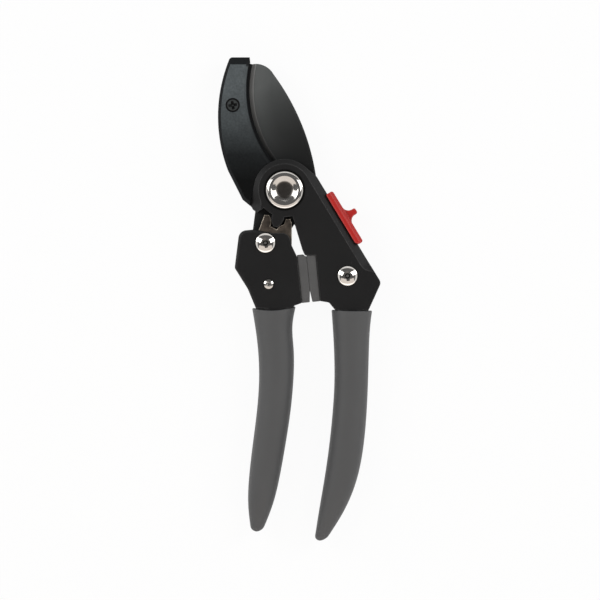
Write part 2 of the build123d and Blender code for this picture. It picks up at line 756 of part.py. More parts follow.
tongue_half = TONGUE_THICKNESS / 2 + TURN_FIT
with BuildPart() as anvil_jaw:
    layer(jaw_head.sketch, jaw_z + JAW_BEVEL, jaw_top_z - JAW_BEVEL)
    with BuildSketch(Plane.XY.offset(jaw_z + JAW_BEVEL)) as rim:
        add(jaw_head.sketch)
    back_rim = extrude(rim.sketch, amount=-JAW_BEVEL, taper=JAW_BEVEL_ANGLE)
    mirror(back_rim, about=Plane.XY.offset(blade_mid_z))
    with BuildSketch(Plane.YZ.offset(JAW_BULGE[0])) as top_wedge:
        with BuildLine():
            Polyline(
                (JAW_TOP - JAW_TOP_BEVEL, jaw_top_z),
                (JAW_TOP, jaw_top_z),
                (JAW_TOP, jaw_top_z - JAW_TOP_BEVEL_DEPTH),
                close=True,
            )
        make_face()
    extrude(top_wedge.sketch, amount=-2 * JAW_BULGE[0], mode=Mode.SUBTRACT)
    layer(head_room, rear_washer_z, jaw_top_z, Mode.SUBTRACT)
    layer(open_arm_room.sketch, rear_washer_z, front_cheek_z, Mode.SUBTRACT)
    layer(tang, jaw_z, rear_washer_z)
    layer(disc(JAW_SCREW_AT, TANG_END_RADIUS), jaw_z, front_cheek_z - SEAT_FIT)
    strip_room = anvil_strip(EDGE_RADIUS, TURN_FIT)
    layer(strip_room, strip_low_z - TURN_FIT, strip_high_z + TURN_FIT, Mode.SUBTRACT)
    layer(anvil_tongue(TURN_FIT), blade_mid_z - tongue_half, blade_mid_z + tongue_half, Mode.SUBTRACT)
    layer(disc((0, 0), BARREL_RADIUS + TURN_FIT), jaw_z, jaw_top_z, Mode.SUBTRACT)
    layer(disc(JAW_SCREW_AT, NUT_BARREL_RADIUS + PRESS_FIT), jaw_z, front_cheek_z, Mode.SUBTRACT)
    with Locations((ANVIL_SCREW_AT[0], ANVIL_SCREW_AT[1], jaw_top_z)):
        hole_depth = jaw_top_z - jaw_z - ANVIL_HOLE_END
        CounterSinkHole(ANVIL_SCREW_RADIUS + PRESS_FIT, ANVIL_SCREW_HEAD_RADIUS + PRESS_FIT, hole_depth)
anvil_jaw.part.label = "anvil_jaw"

with BuildPart() as anvil_screw:
    head_drop = ANVIL_SCREW_HEAD_RADIUS - ANVIL_SCREW_RADIUS
    with BuildSketch(Plane.XY.offset(jaw_top_z)) as screw_head:
        with Locations(ANVIL_SCREW_AT):
            Circle(ANVIL_SCREW_HEAD_RADIUS)
    extrude(screw_head.sketch, amount=-head_drop, taper=COUNTERSINK_ANGLE)
    layer(disc(ANVIL_SCREW_AT, ANVIL_SCREW_RADIUS), jaw_z + ANVIL_SCREW_END, jaw_top_z - head_drop)
    cross_recess(ANVIL_SCREW_AT, jaw_top_z, ANVIL_CROSS_SPAN, ANVIL_SCREW_TURN)
anvil_screw.part.label = "anvil_screw"

jaw_screw = pan_screw(JAW_SCREW_AT, front_z - HEAD_RECESS, JAW_SCREW_TURN)
jaw_screw.label = "jaw_screw"

jaw_barrel_nut = barrel_nut(JAW_SCREW_AT, front_z - HEAD_RECESS - SEAT_FIT)
jaw_barrel_nut.label = "jaw_barrel_nut"

# Main pivot

barrel_top_z = front_z - HEAD_RECESS - SEAT_FIT
with BuildPart() as pivot_barrel_nut:
    layer(disc((0, 0), PIVOT_HEAD_RADIUS), 0, back_z)
    fillet(pivot_barrel_nut.faces().sort_by(Axis.Z)[0].edges(), PIVOT_NUT_ROUND)
    layer(disc((0, 0), BARREL_RADIUS), back_z, barrel_top_z)
    layer(disc((0, 0), PIVOT_SHANK_RADIUS + PRESS_FIT), back_z, barrel_top_z, Mode.SUBTRACT)
pivot_barrel_nut.part.label = "pivot_barrel_nut"

with BuildPart() as pivot_bolt:
    seat_z = front_z - HEAD_RECESS
    rim_z = front_z + PIVOT_RIM_HEIGHT
    floor_z = seat_z + HEAD_RECESS
    with BuildSketch(Plane.XZ):
        with BuildLine():
            Polyline(
                (PIVOT_HEAD_RADIUS, seat_z + HEAD_RECESS),
                (PIVOT_HEAD_RADIUS, seat_z),
                (PIVOT_SHANK_RADIUS, seat_z),
                (PIVOT_SHANK_RADIUS, back_z + SEAT_FIT),
                (0, back_z + SEAT_FIT),
                (0, floor_z),
                (PIVOT_FLOOR_RADIUS, floor_z),
                (PIVOT_RIM_RADIUS, rim_z),
            )
            TangentArc((PIVOT_RIM_RADIUS, rim_z), (PIVOT_HEAD_RADIUS, seat_z + HEAD_RECESS), tangent=(1, 0))
        make_face()
    revolve(axis=Axis.Z)
pivot_bolt.part.label = "pivot_bolt"

front_thrust_washer = thrust_washer(front_washer_z)
front_thrust_washer.label = "front_thrust_washer"

rear_thrust_washer = thrust_washer(rear_washer_z)
rear_thrust_washer.label = "rear_thrust_washer"

# Blade

pivot_bore = BARREL_RADIUS + TURN_FIT
arm_bore = NUT_BARREL_RADIUS + TURN_FIT
ground_depth = (BLADE_THICKNESS - EDGE_LAND) / 2
grind_start = tip_angle - GRIND_RUN_OUT
grind_turn = heel_angle + GRIND_RUN_OUT - grind_start
grind_plane = Plane(
    (edge_centre[0], edge_centre[1], 0),
    x_dir=(*polar(1, grind_start), 0),
    z_dir=(*polar(1, grind_start + 90), 0),
)


def ground_bevel(surface, depth):
    """Ring segment that is ground off one face of the blade along its edge."""
    with BuildPart() as cut:
        with BuildSketch(grind_plane):
            with BuildLine():
                Polyline(
                    (EDGE_RADIUS - BEVEL_WIDTH, -surface),
                    (EDGE_RADIUS + BEVEL_WIDTH, -surface),
                    (EDGE_RADIUS + BEVEL_WIDTH, -surface + 2 * depth),
                    close=True,
                )
            make_face()
        revolve(axis=Axis((edge_centre[0], edge_centre[1], 0), (0, 0, 1)), revolution_arc=grind_turn)
    return cut.part


with BuildPart() as blade:
    layer(blade_outline.sketch, blade_z, blade_top_z)
    add(ground_bevel(blade_top_z, ground_depth), mode=Mode.SUBTRACT)
    add(ground_bevel(blade_z, -ground_depth), mode=Mode.SUBTRACT)
    layer(arm, blade_z, blade_top_z)
    layer(disc((0, 0), pivot_bore + BUSHING_WALL), blade_z, blade_top_z, Mode.SUBTRACT)
    layer(disc(left_pivot, arm_bore + ARM_BUSHING_WALL), blade_z, blade_top_z, Mode.SUBTRACT)
blade.part.label = "blade"

blade_bushing = bushing((0, 0), pivot_bore, BUSHING_WALL)
blade_bushing.label = "blade_bushing"

arm_bushing = bushing(left_pivot, arm_bore, ARM_BUSHING_WALL)
arm_bushing.label = "arm_bushing"

# Left handle

left_mouth_drop, left_middle, left_width = LEFT_GRIP[0][:3]
left_mouth = left_width / 2 - GRIP_WALL
left_outline = rounded_shape(
    [
        from_left_pivot(LEFT_TOP),
        from_left_pivot(LEFT_SHOULDER),
        from_left_pivot(LEFT_CORNER),
        from_left_pivot(LEFT_HIP),
        from_left_pivot((left_middle - left_mouth, -left_mouth_drop)),
        from_left_pivot((left_middle + left_mouth, -left_mouth_drop)),
        at_closing_line(BUMPER_LENGTH + LEFT_SEAT_FOOT[0], -seat_right - LEFT_SEAT_FOOT[1]),
        at_closing_line(BUMPER_LENGTH, -seat_right),
        at_closing_line(-SEAT_END, -seat_right),
        from_left_pivot(LEFT_INNER_EDGE),
        from_left_pivot(LEFT_FRONT_CORNER),
        from_left_pivot(LEFT_FRONT_EDGE),
    ],
    [
        LEFT_TOP_ROUND,
        SHOULDER_ROUND,
        LEFT_CORNER_ROUND,
        LEFT_HIP_ROUND,
        0,
        0,
        SEAT_FOOT_ROUND,
        SEAT_ROUND,
        SEAT_ROUND,
        0,
        LEFT_FRONT_ROUND,
        0,
    ],
)

prong_angles = (plate_gap_angle + prong_offset, plate_gap_angle - prong_offset)
short_flank = flank(PLATE_PITCH_RADIUS, PRONG_WIDTH, prong_root_radius, prong_tip_radius, -1)
with BuildSketch() as short_prong:
    with BuildLine():
        followed = [polar(r, prong_angles[0] + a, left_pivot) for r, a in short_flank]
        Spline(*followed)
        Polyline(
            followed[-1],
            from_left_pivot(PRONG_TIP),
            from_left_pivot(PRONG_FOOT),
            left_pivot,
            followed[0],
        )
    make_face()

hook_tip = from_left_pivot(HOOK_REACH)
long_flank = flank(PLATE_PITCH_RADIUS, PRONG_WIDTH, prong_root_radius, prong_tip_radius, 1)
with BuildSketch() as hook:
    with BuildLine():
        driven = [polar(r, prong_angles[1] + a, left_pivot) for r, a in long_flank[:4]]
        Spline(*driven)
        Polyline(
            driven[-1],
            hook_tip,
            moved(hook_tip, (HOOK_TOP, 0)),
            from_left_pivot((PLATE_EDGE, HOOK_REACH[1] - HOOK_TOP)),
            from_left_pivot((PLATE_EDGE, HOOK_FOOT)),
            from_left_pivot((PLATE_EDGE - HOOK_FOOT_DRAW, -prong_root_radius)),
            left_pivot,
            driven[0],
        )
    make_face()

plate_pin = from_left_pivot(PLATE_PIN_AT)
plate_tail = taper_bar(left_pivot, PLATE_HUB_RADIUS, plate_pin, PLATE_TAIL_RADIUS)
gap_floor = bay(left_pivot, PLATE_HUB_RADIUS / 2, prong_root_radius, prong_angles[1], prong_angles[0])
plate_outline = joined(plate_tail, gap_floor, short_prong.sketch, hook.sketch)

arm_reach = polar(centre_distance, HANDLE_PIVOT_ANGLE + 180 + OPEN_ANGLE * gear_ratio, left_pivot)
arm_slot = joined(
    closed_arm_room,
    grown(taper_bar(arm_reach, HUB_RADIUS, left_pivot, ARM_END_RADIUS), SWING_GAP),
)
spring_floor_z = back_z + BACK_CHEEK - RUN_GAP
arm_slot_z = blade_z - 2 * RUN_GAP
spring_pocket = SPRING_RADIUS + SPRING_WIRE / 2 + SPRING_ROOM

with BuildPart() as left_handle_frame:
    layer(left_outline, back_z, front_z)
    outer_rims = left_handle_frame.faces().filter_by(Axis.Z).edges()
    fillet(outer_rims.filter_by(lambda e: e.center().X < left_pivot[0] + LEFT_TOP[0]), LEFT_EDGE_ROUND)
    layer(arm_slot, arm_slot_z, gear_z, Mode.SUBTRACT)
    layer(grown(plate_outline, SEAT_FIT), gear_z, gear_top_z, Mode.SUBTRACT)
    layer(disc(left_pivot, spring_pocket), spring_floor_z, arm_slot_z, Mode.SUBTRACT)
    bumper_slot(-1)
    layer(disc(left_pivot, NUT_BARREL_RADIUS + PRESS_FIT), back_z, front_z, Mode.SUBTRACT)
    layer(disc(left_pivot, SCREW_HEAD_RADIUS + SEAT_FIT), front_z - HEAD_RECESS, front_z, Mode.SUBTRACT)
    layer(disc(plate_pin, PLATE_PIN_RADIUS + PRESS_FIT), jaw_z, front_z, Mode.SUBTRACT)
    add(grip_solid(LEFT_GRIP[:CORE_SECTION_COUNT], left_pivot, GRIP_WALL))
left_handle_frame.part.label = "left_handle_frame"

left_grip = grip_sleeve(LEFT_GRIP, left_pivot)
left_grip.label = "left_grip"

left_bumper = bumper(-1)
left_bumper.label = "left_bumper"

with BuildPart() as gear_plate:
    layer(plate_outline, gear_z, gear_top_z)
    layer(disc(left_pivot, NUT_BARREL_RADIUS + PRESS_FIT), gear_z, gear_top_z, Mode.SUBTRACT)
    layer(disc(plate_pin, PLATE_PIN_RADIUS + PRESS_FIT), gear_z, gear_top_z, Mode.SUBTRACT)
gear_plate.part.label = "gear_plate"

with BuildPart() as gear_plate_pin:
    layer(disc(plate_pin, PLATE_PIN_HEAD_RADIUS), front_z, front_z + PLATE_PIN_HEAD)
    fillet(gear_plate_pin.faces().sort_by(Axis.Z)[-1].edges(), PLATE_PIN_DOME)
    layer(disc(plate_pin, PLATE_PIN_RADIUS), jaw_z + SEAT_FIT, front_z)
gear_plate_pin.part.label = "gear_plate_pin"

handle_screw = pan_screw(left_pivot, front_z - HEAD_RECESS, HANDLE_SCREW_TURN)
handle_screw.label = "handle_screw"

handle_barrel_nut = barrel_nut(left_pivot, front_z - HEAD_RECESS - SEAT_FIT)
handle_barrel_nut.label = "handle_barrel_nut"

# Return spring: turns of round wire in quarter-turn arcs, in the pocket under the blade's arm

spring_start_z = spring_floor_z + SPRING_WIRE / 2 + RUN_GAP
spring_start_angle = HANDLE_PIVOT_ANGLE + 180


def on_spring(quarters):
    """Point on the spring's helix after a number of quarter turns."""
    x, y = polar(SPRING_RADIUS, spring_start_angle + 90 * quarters, left_pivot)
    return (x, y, spring_start_z + SPRING_PITCH * quarters / 4)


with BuildPart() as return_spring:
    with BuildLine() as wire:
        for quarter in range(4 * SPRING_TURNS):
            ThreePointArc(*[on_spring(quarter + part) for part in (0, 0.5, 1)])
    with BuildSketch(Plane(on_spring(0), z_dir=wire.wire() % 0)) as wire_section:
        Circle(SPRING_WIRE / 2)
    sweep(wire_section.sketch, path=wire.wire())
return_spring.part.label = "return_spring"
print("return spring: least gap between turns", round(SPRING_PITCH - SPRING_WIRE, 2))

# Lock

lock_along = Vector(*on_right_handle(1, 0), 0)
lock_out = Vector(*on_right_handle(0, 1), 0)
lip_clear = LOCK_GAP / cos(atan2(RIDGE_DROP, RIDGE_WIDTH))
edge_half = (front_z - back_z) / 2 - bevel_slope * (BACK_EDGE - RIDGE_RADIUS)
base_in = BACK_EDGE + LOCK_GAP
base_out = BACK_EDGE + LOCK_PROUD
lip_in = BACK_EDGE - LOCK_LAP
lip_low = edge_half + lip_clear + bevel_slope * LOCK_LAP
base_low = edge_half + lip_clear - bevel_slope * LOCK_GAP
lock_section = [
    (base_in, base_low),
    (lip_in, lip_low),
    (lip_in, lip_low + LOCK_LIP),
    (BACK_EDGE + LOCK_CREASE, lip_low + LOCK_LIP),
    (base_out, base_low),
]
lock_profile = lock_section + [(out, -high) for out, high in reversed(lock_section)]
section_rounds = [0, 0, LIP_ROUND, CREASE_ROUND, LOCK_EDGE_ROUND]
lock_end = LOCK_TOP + LOCK_LENGTH
lock_plan = rounded_shape(
    [
        on_right_handle(LOCK_TOP, lip_in),
        on_right_handle(LOCK_TOP, base_out),
        on_right_handle(lock_end, base_out),
        on_right_handle(lock_end, lip_in),
    ],
    [LOCK_TOP_ROUND, LOCK_OUTER_ROUND, LOCK_OUTER_ROUND, LOCK_FOOT_ROUND],
)
tab_foot = TAB_TIP / 2 + TAB_ROOT_ROUND + LOCK_BURY
tab_end = BACK_EDGE + TAB_REACH
slide_plane = Plane(Vector(*on_right_handle(LOCK_TOP, 0), frame_mid_z), x_dir=lock_out, z_dir=lock_along)
peg_plane = Plane(
    Vector(*on_right_handle(LOCK_TOP + BOLT_PEG_AT, base_in), blade_mid_z), x_dir=lock_along, z_dir=lock_out
)

with BuildPart() as lock_slide:
    with BuildSketch(slide_plane) as slide_section:
        with BuildLine():
            FilletPolyline(lock_profile, radius=section_rounds + section_rounds[::-1], close=True)
        make_face()
    extrude(slide_section.sketch, amount=LOCK_LENGTH)
    layer(lock_plan, back_z, front_z, Mode.INTERSECT)
    with BuildSketch(Plane.XY.offset(frame_mid_z)) as tab:
        with BuildLine():
            half_tab = TAB_TIP / 2
            places = [
                (-tab_foot, base_out - LOCK_BURY),
                (-tab_foot, base_out),
                (-half_tab, base_out),
                (-half_tab, tab_end),
            ]
            places += [(-step, out) for step, out in reversed(places)]
            tab_rounds = [0, 0, TAB_ROOT_ROUND, TAB_TIP_ROUND]
            corners = [on_right_handle(LOCK_TOP + TAB_MIDDLE + step, out) for step, out in places]
            FilletPolyline(corners, radius=tab_rounds + tab_rounds[::-1], close=True)
        make_face()
    extrude(tab.sketch, amount=TAB_THICKNESS / 2, both=True)
    rib = rounded_shape(
        [
            on_right_handle(LOCK_TOP + BOLT_LENGTH, base_in + LOCK_BURY),
            on_right_handle(lock_end - RIB_END, base_in + LOCK_BURY),
            on_right_handle(lock_end - RIB_END, BACK_EDGE - CHANNEL_DEPTH + LOCK_GAP),
            on_right_handle(LOCK_TOP + BOLT_LENGTH, BACK_EDGE - CHANNEL_DEPTH + LOCK_GAP),
        ],
        0,
    )
    layer(rib, blade_z, blade_top_z)
    with BuildSketch(peg_plane) as peg:
        Circle(BOLT_PEG_RADIUS)
    extrude(peg.sketch, amount=-CHANNEL_DEPTH)
lock_slide.part.label = "lock_slide"

with BuildPart() as lock_bolt:
    bar = rounded_shape(
        [
            on_right_handle(LOCK_TOP - BOLT_LEAD, BACK_EDGE),
            on_right_handle(LOCK_TOP + BOLT_LENGTH - LOCK_GAP, BACK_EDGE),
            on_right_handle(LOCK_TOP + BOLT_LENGTH - LOCK_GAP, BACK_EDGE - CHANNEL_DEPTH + LOCK_GAP),
            on_right_handle(LOCK_TOP - BOLT_LEAD, BACK_EDGE - CHANNEL_DEPTH + LOCK_GAP),
        ],
        [BOLT_ROUND, 0, 0, BOLT_ROUND],
    )
    layer(bar, blade_z, blade_top_z)
    with BuildSketch(peg_plane) as peg_hole:
        Circle(BOLT_PEG_RADIUS + TURN_FIT)
    extrude(peg_hole.sketch, amount=-2 * CHANNEL_DEPTH, mode=Mode.SUBTRACT)
lock_bolt.part.label = "lock_bolt"

pieces = [
    right_handle_frame.part,
    right_grip,
    right_bumper,
    anvil_jaw.part,
    anvil_insert.part,
    anvil_screw.part,
    jaw_screw,
    jaw_barrel_nut,
    pivot_bolt.part,
    pivot_barrel_nut.part,
    front_thrust_washer,
    rear_thrust_washer,
    blade.part,
    blade_bushing,
    arm_bushing,
    left_handle_frame.part,
    left_grip,
    left_bumper,
    gear_plate.part,
    gear_plate_pin.part,
    handle_screw,
    handle_barrel_nut,
    return_spring.part,
    lock_slide.part,
    lock_bolt.part,
]
os.makedirs("parts", exist_ok=True)
for piece in pieces:
    export_step(piece, f"parts/{piece.label}.step")
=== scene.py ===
"""Geared anvil pruning shears: the looks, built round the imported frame."""

import json
from collections import namedtuple
from math import copysign, cos, pi, radians, sin

import bmesh
import bpy
from bpy.props import FloatProperty, FloatVectorProperty, IntProperty, PointerProperty
from mathutils import Matrix, Vector


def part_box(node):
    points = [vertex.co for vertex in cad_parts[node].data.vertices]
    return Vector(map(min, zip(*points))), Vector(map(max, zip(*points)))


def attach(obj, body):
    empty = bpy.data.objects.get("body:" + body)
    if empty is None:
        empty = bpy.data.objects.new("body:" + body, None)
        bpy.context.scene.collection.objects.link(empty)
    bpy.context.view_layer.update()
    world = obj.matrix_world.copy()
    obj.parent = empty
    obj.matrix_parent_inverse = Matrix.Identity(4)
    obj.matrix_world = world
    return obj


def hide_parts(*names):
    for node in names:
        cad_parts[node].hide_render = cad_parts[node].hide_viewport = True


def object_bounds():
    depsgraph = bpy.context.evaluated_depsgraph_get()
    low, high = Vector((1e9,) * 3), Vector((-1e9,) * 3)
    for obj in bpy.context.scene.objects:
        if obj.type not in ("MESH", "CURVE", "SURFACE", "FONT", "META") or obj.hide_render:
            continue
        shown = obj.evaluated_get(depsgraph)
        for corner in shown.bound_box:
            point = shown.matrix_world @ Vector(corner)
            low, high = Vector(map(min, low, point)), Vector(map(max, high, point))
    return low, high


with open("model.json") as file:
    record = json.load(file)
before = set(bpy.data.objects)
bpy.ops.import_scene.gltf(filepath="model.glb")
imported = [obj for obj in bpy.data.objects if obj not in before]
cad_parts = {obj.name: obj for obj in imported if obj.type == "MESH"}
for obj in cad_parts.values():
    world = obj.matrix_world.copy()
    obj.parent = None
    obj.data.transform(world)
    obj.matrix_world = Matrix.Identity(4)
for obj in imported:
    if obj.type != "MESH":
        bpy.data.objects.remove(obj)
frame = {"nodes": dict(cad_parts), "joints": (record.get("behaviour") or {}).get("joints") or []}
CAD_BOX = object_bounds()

bl_info = {
    "name": "Pruning Shears",
    "version": (1, 0, 0),
    "blender": (4, 5, 0),
    "location": "View3D > Sidebar > Shears",
    "description": "Dresses a pair of geared anvil pruning shears and sets them on a pale studio floor",
    "category": "Object",
}

MM = 0.001

# Pivots: the main one is the frame's origin, the left handle's is one of its joints
MAIN_PIVOT = Vector((0, 0, 0))
LEFT_PIVOT = Vector(next(joint["pos_m"] for joint in frame["joints"] if joint["name"] == "handle_pivot"))

# Directions in the flat of the shears: up to the tip, and out along the blade
TOWARD_TIP = (0.0, 1.0, 0.0)
ALONG_BLADE = (-0.5, 0.866, 0.0)

# Cutting edge: centre and radius of its arc, in millimetres
EDGE_CENTRE = Vector((36.35, 43.4))
EDGE_RADIUS = 52.0

# Bumper pads: distance down the line where they meet, and to the right of it, in millimetres
RIGHT_PAD = ((-0.42, 0.012), (15.0, 0.012), (20.0, 0.6), (20.0, 4.05), (-0.03, 4.05))
LEFT_PAD = (
    (-0.85, -4.05),
    (-0.85, -1.3),
    (-0.15, -0.78),
    (0.15, -0.012),
    (15.0, -0.012),
    (20.0, -0.6),
    (20.0, -4.05),
)

# Pads: least angle of a corner that is rounded, and steps of the rounding
PAD_CORNER_ANGLE = radians(12)
PAD_EDGE_STEPS = 3

# Grips: distance below the pivot, middle, width and thickness of each section, in millimetres
RIGHT_GRIP = (
    (52.0, 29.15, 17.6, 18.4),
    (58.0, 29.0, 16.4, 18.4),
    (70.0, 29.0, 15.1, 18.4),
    (84.0, 28.85, 14.6, 18.4),
    (98.0, 28.05, 14.8, 18.4),
    (112.0, 26.6, 14.9, 18.1),
    (126.0, 24.1, 14.0, 17.0),
    (139.0, 20.3, 10.8, 13.8),
    (151.8, 15.3, 4.8, 7.4),
)
LEFT_GRIP = (
    (28.3, 3.62, 18.9, 18.4),
    (34.0, 3.5, 16.7, 18.4),
    (46.0, 4.45, 15.5, 18.4),
    (60.0, 4.6, 14.9, 18.4),
    (74.0, 3.4, 14.6, 18.4),
    (88.0, 1.45, 14.2, 18.1),
    (101.0, -0.45, 13.3, 17.0),
    (113.0, -2.15, 10.8, 13.8),
    (125.0, -3.85, 4.8, 7.4),
)

# Mouths of the grips: rise of the corners, sag of the middle and tilt, in millimetres
RIGHT_MOUTH = (0.1, 0.4, -0.15)
LEFT_MOUTH = (0.5, 1.4, 0.36)

# Inside of a grip's mouth and its domed end, in millimetres, and the steps of their curves
INNER_DEPTHS = (9.0, 5.0, 2.0)
DOME_LENGTH = 2.2
LEAST_HALF_WIDTH = 0.02
LIP_STEPS = 10
DOME_STEPS = 12

# Points of a sleeve that lie nearer than this are one, in metres
SAME_POINT = 1e-7

# Pivot bolt: radius and depth below its rim, from the dished floor out to the seat, in millimetres
PIVOT_HEAD = (
    (0, 1.2),
    (2.6, 1.2),
    (3.3, 1.13),
    (3.9, 0.95),
    (4.6, 0.62),
    (5.3, 0.26),
    (5.75, 0.08),
    (6.2, 0.0),
    (6.7, 0.02),
    (7.3, 0.2),
    (7.85, 0.52),
    (8.25, 0.9),
    (8.43, 1.25),
    (8.45, 1.7),
)
PIVOT_SHANK_RADIUS = 3.0
PIVOT_FLOOR_RADIUS = 4.1
PIVOT_STEPS = 128
PIVOT_CRISP_ANGLE = radians(38)

# Cross-head screws: shares of the head's radius, of its height and of the recess's span
SHANK_SHARE = 0.36
DEEPEST_SLOT = 0.8
RECESS_TOP = 0.74
RECESS_FOOT = 0.1

# Cross-head screws: curve of the crown, reach of the shank into the head, and fineness of the mesh
CROWN_POWER = 2.6
SHANK_OVERLAP = 0.2 * MM
HEAD_STEPS = 72
HEAD_RINGS = 12
SHANK_STEPS = 48
SCREW_CRISP_ANGLE = radians(32)

# Head of a screw: the crown is a share of the height, the foot of the radius, the slot of a pan head's
Head = namedtuple("Head", "radius height crown foot slot")

# Painted shadow rings in the castings: margin round each screw's head, and the fade beyond it, in millimetres
SEAT_MARGINS = {
    "right_handle_frame": {"pivot_bolt": 0.4, "jaw_screw": 0.25},
    "left_handle_frame": {"handle_screw": 0.25, "gear_plate_pin": 0.15},
}
SEAT_FADE = 0.35

# Colours of wear, painted light and shade, and the inner pieces, as linear light
THIN_COAT_AND_HIGHLIGHT = (0.085, 0.084, 0.085)
SEAT_SHADE = (0.0005, 0.0005, 0.0005)
WORN_JAW = (0.1, 0.11, 0.115)
GROUND_EDGE = (0.36, 0.365, 0.36)
WORN_BLADE = (0.16, 0.165, 0.16)
RUBBED_SINTER = (0.75, 0.67, 0.56)
SLOT_SHADE = (0.02, 0.018, 0.017)
FLOOR_REFLECTION_DARK = (0.032, 0.025, 0.021)
OXIDE_RIM_SHADOW = (0.002, 0.002, 0.002)
OXIDE_SLOT_SHADE = (0.001, 0.001, 0.001)
RUBBED_OXIDE = (0.045, 0.05, 0.05)
ANVIL_BLACK = (0.006, 0.0065, 0.007)
WASHER_BLACK = (0.03, 0.03, 0.031)
LOCK_EDGE_HIGHLIGHT = (0.62, 0.1, 0.09)
BRONZE = (0.42, 0.27, 0.11)
SPRING_STEEL = (0.45, 0.45, 0.44)
BOLT_STEEL = (0.42, 0.42, 0.42)

# Floor: sizes in metres, and the share of plain white in what the camera and mirrors see of it
FLOOR_HALF_WIDTH = 3.0
FLOOR_RIM_HEIGHT = 2.2
FLOOR_GAP = 0.0002
FLOOR_GLOW = 0.94

# Lamps and room: sizes, and places told from the middle of the image, in metres; colours as linear light
SOFTBOX_SIZE = (0.35, 0.8)
SOFTBOX_PLACE = (0.62, 0.3, 0.6)
FILL_SIZE = (1.9, 1.3)
FILL_PLACE = (0.0, -0.72, 0.64)
WHITE = (1.0, 1.0, 1.0)
WARM_WHITE = (1.0, 0.92, 0.86)
ROOM_GREY = (0.13, 0.13, 0.132)

# Camera: width of its sensor in millimetres, and the nearest and farthest metres that it shows
SENSOR_WIDTH = 36.0
NEAR_CLIP = 0.05
FAR_CLIP = 20.0


def length(name, description, millimetres):
    """Property of a length, its default told in millimetres."""
    return FloatProperty(name=name, description=description, default=millimetres * MM, unit="LENGTH")


def tint(name, description, *levels):
    """Property of a colour, its default told as linear light."""
    return FloatVectorProperty(name=name, description=description, default=levels, subtype="COLOR")


def power(name, description, watts):
    """Property of a lamp's power."""
    return FloatProperty(name=name, description=description, default=watts, unit="POWER")


class ShearsGripSizes(bpy.types.PropertyGroup):
    """Sizes of the soft sleeves on the handles."""

    wall: length("Wall", "Thickness of the sleeve at its mouth", 1.6)
    lip: length("Lip", "Radius of the mouth's rounded rim", 0.55)
    flare: length("Flare", "Length over which the mouth's bend dies out", 9.0)
    middle: length("Middle", "Height of the sleeves' middle plane", 9.2)
    squareness: FloatProperty(name="Squareness", description="Exponent of the section's outline", default=2.6)
    rings: IntProperty(name="Rings", description="Rings of faces down a sleeve", default=96)
    around: IntProperty(name="Around", description="Faces round a sleeve", default=72)


class ShearsFastenerSizes(bpy.types.PropertyGroup):
    """Sizes of the cross-head screws."""

    head_radius: length("Head radius", "Radius of a pan head", 4.15)
    head_height: length("Head height", "Height of a pan head", 2.2)
    pin_radius: length("Pin radius", "Radius of the gear plate's pin head", 2.05)
    pin_height: length("Pin height", "Height of the gear plate's pin head", 0.9)
    anvil_radius: length("Anvil screw radius", "Radius of the anvil screw's head", 3.1)
    anvil_height: length("Anvil screw height", "Height of the anvil screw's head", 1.6)
    slot_span: length("Slot span", "Length of a pan head's cross recess", 6.0)
    slot_width: length("Slot width", "Width of a pan head's cross recess", 1.45)
    slot_depth: length("Slot depth", "Depth of a pan head's cross recess", 1.5)


class ShearsBumperSizes(bpy.types.PropertyGroup):
    """Sizes of the rubber pads, told from the line where they meet."""

    top_x: length("Top X", "Upper end of the line where the pads meet", 9.45)
    top_y: length("Top Y", "Upper end of the line where the pads meet", -28.5)
    lean: FloatProperty(name="Lean", description="Lean of that line", default=radians(5.8), subtype="ANGLE")
    edge: length("Edge", "Rounding of a pad's edges", 0.3)
    proud: length("Proud", "Height of a pad above and below its plain solid", 1.1)


class ShearsFinishes(bpy.types.PropertyGroup):
    """Colours of the finishes, as linear light."""

    casting: tint("Casting", "Black powder coat of the cast handles", 0.0103, 0.0103, 0.0105)
    grip: tint("Grip", "Soft vinyl of the sleeves", 0.0905, 0.092, 0.0935)
    rubber: tint("Rubber", "Rubber of the bumpers", 0.1, 0.1, 0.1)
    jaw: tint("Jaw", "Grained face of the anvil jaw", 0.098, 0.113, 0.119)
    # Near-black painted shade on the jaw's bevels
    jaw_bevel_shade: tint("Jaw rim", "Dark bevel round the anvil jaw", 0.009, 0.0105, 0.0115)
    blade: tint("Blade", "Matte coat of the blade", 0.103, 0.11, 0.109)
    gear: tint("Gear", "Sintered steel of the gear plate", 0.064, 0.051, 0.04)
    plating: tint("Plating", "Bright plating of the screws", 0.72, 0.69, 0.65)
    lock: tint("Lock", "Red plastic of the lock", 0.5, 0.015, 0.011)


class ShearsStage(bpy.types.PropertyGroup):
    """The floor, the lamps and the camera."""

    field: length("Field", "Width that the image shows at the grips' middle height", 260.3)
    centre_x: length("Centre X", "Middle of the image", 6.67)
    centre_y: length("Centre Y", "Middle of the image", -47.5)
    lens: FloatProperty(name="Lens", description="Focal length", default=200.0, unit="CAMERA")
    floor: tint("Floor", "Colour of the floor", 1.0, 1.0, 1.0)
    softbox: power("Softbox", "Power of each side lamp", 3.4)
    fill: power("Fill", "Power of the warm lamp below the grips", 6.2)


class Wire:
    """A shader socket whose arithmetic adds Math nodes."""

    def __init__(self, paint, socket):
        self.paint = paint
        self.socket = socket

    def maths(self, operation, first, second):
        return self.paint.node("Math", {"operation": operation}, {0: first, 1: second})

    def __add__(self, other):
        return self.maths("ADD", self, other)

    __radd__ = __add__

    def __sub__(self, other):
        return self.maths("SUBTRACT", self, other)

    def __rsub__(self, other):
        return self.maths("SUBTRACT", other, self)

    def __mul__(self, other):
        return self.maths("MULTIPLY", self, other)

    __rmul__ = __mul__


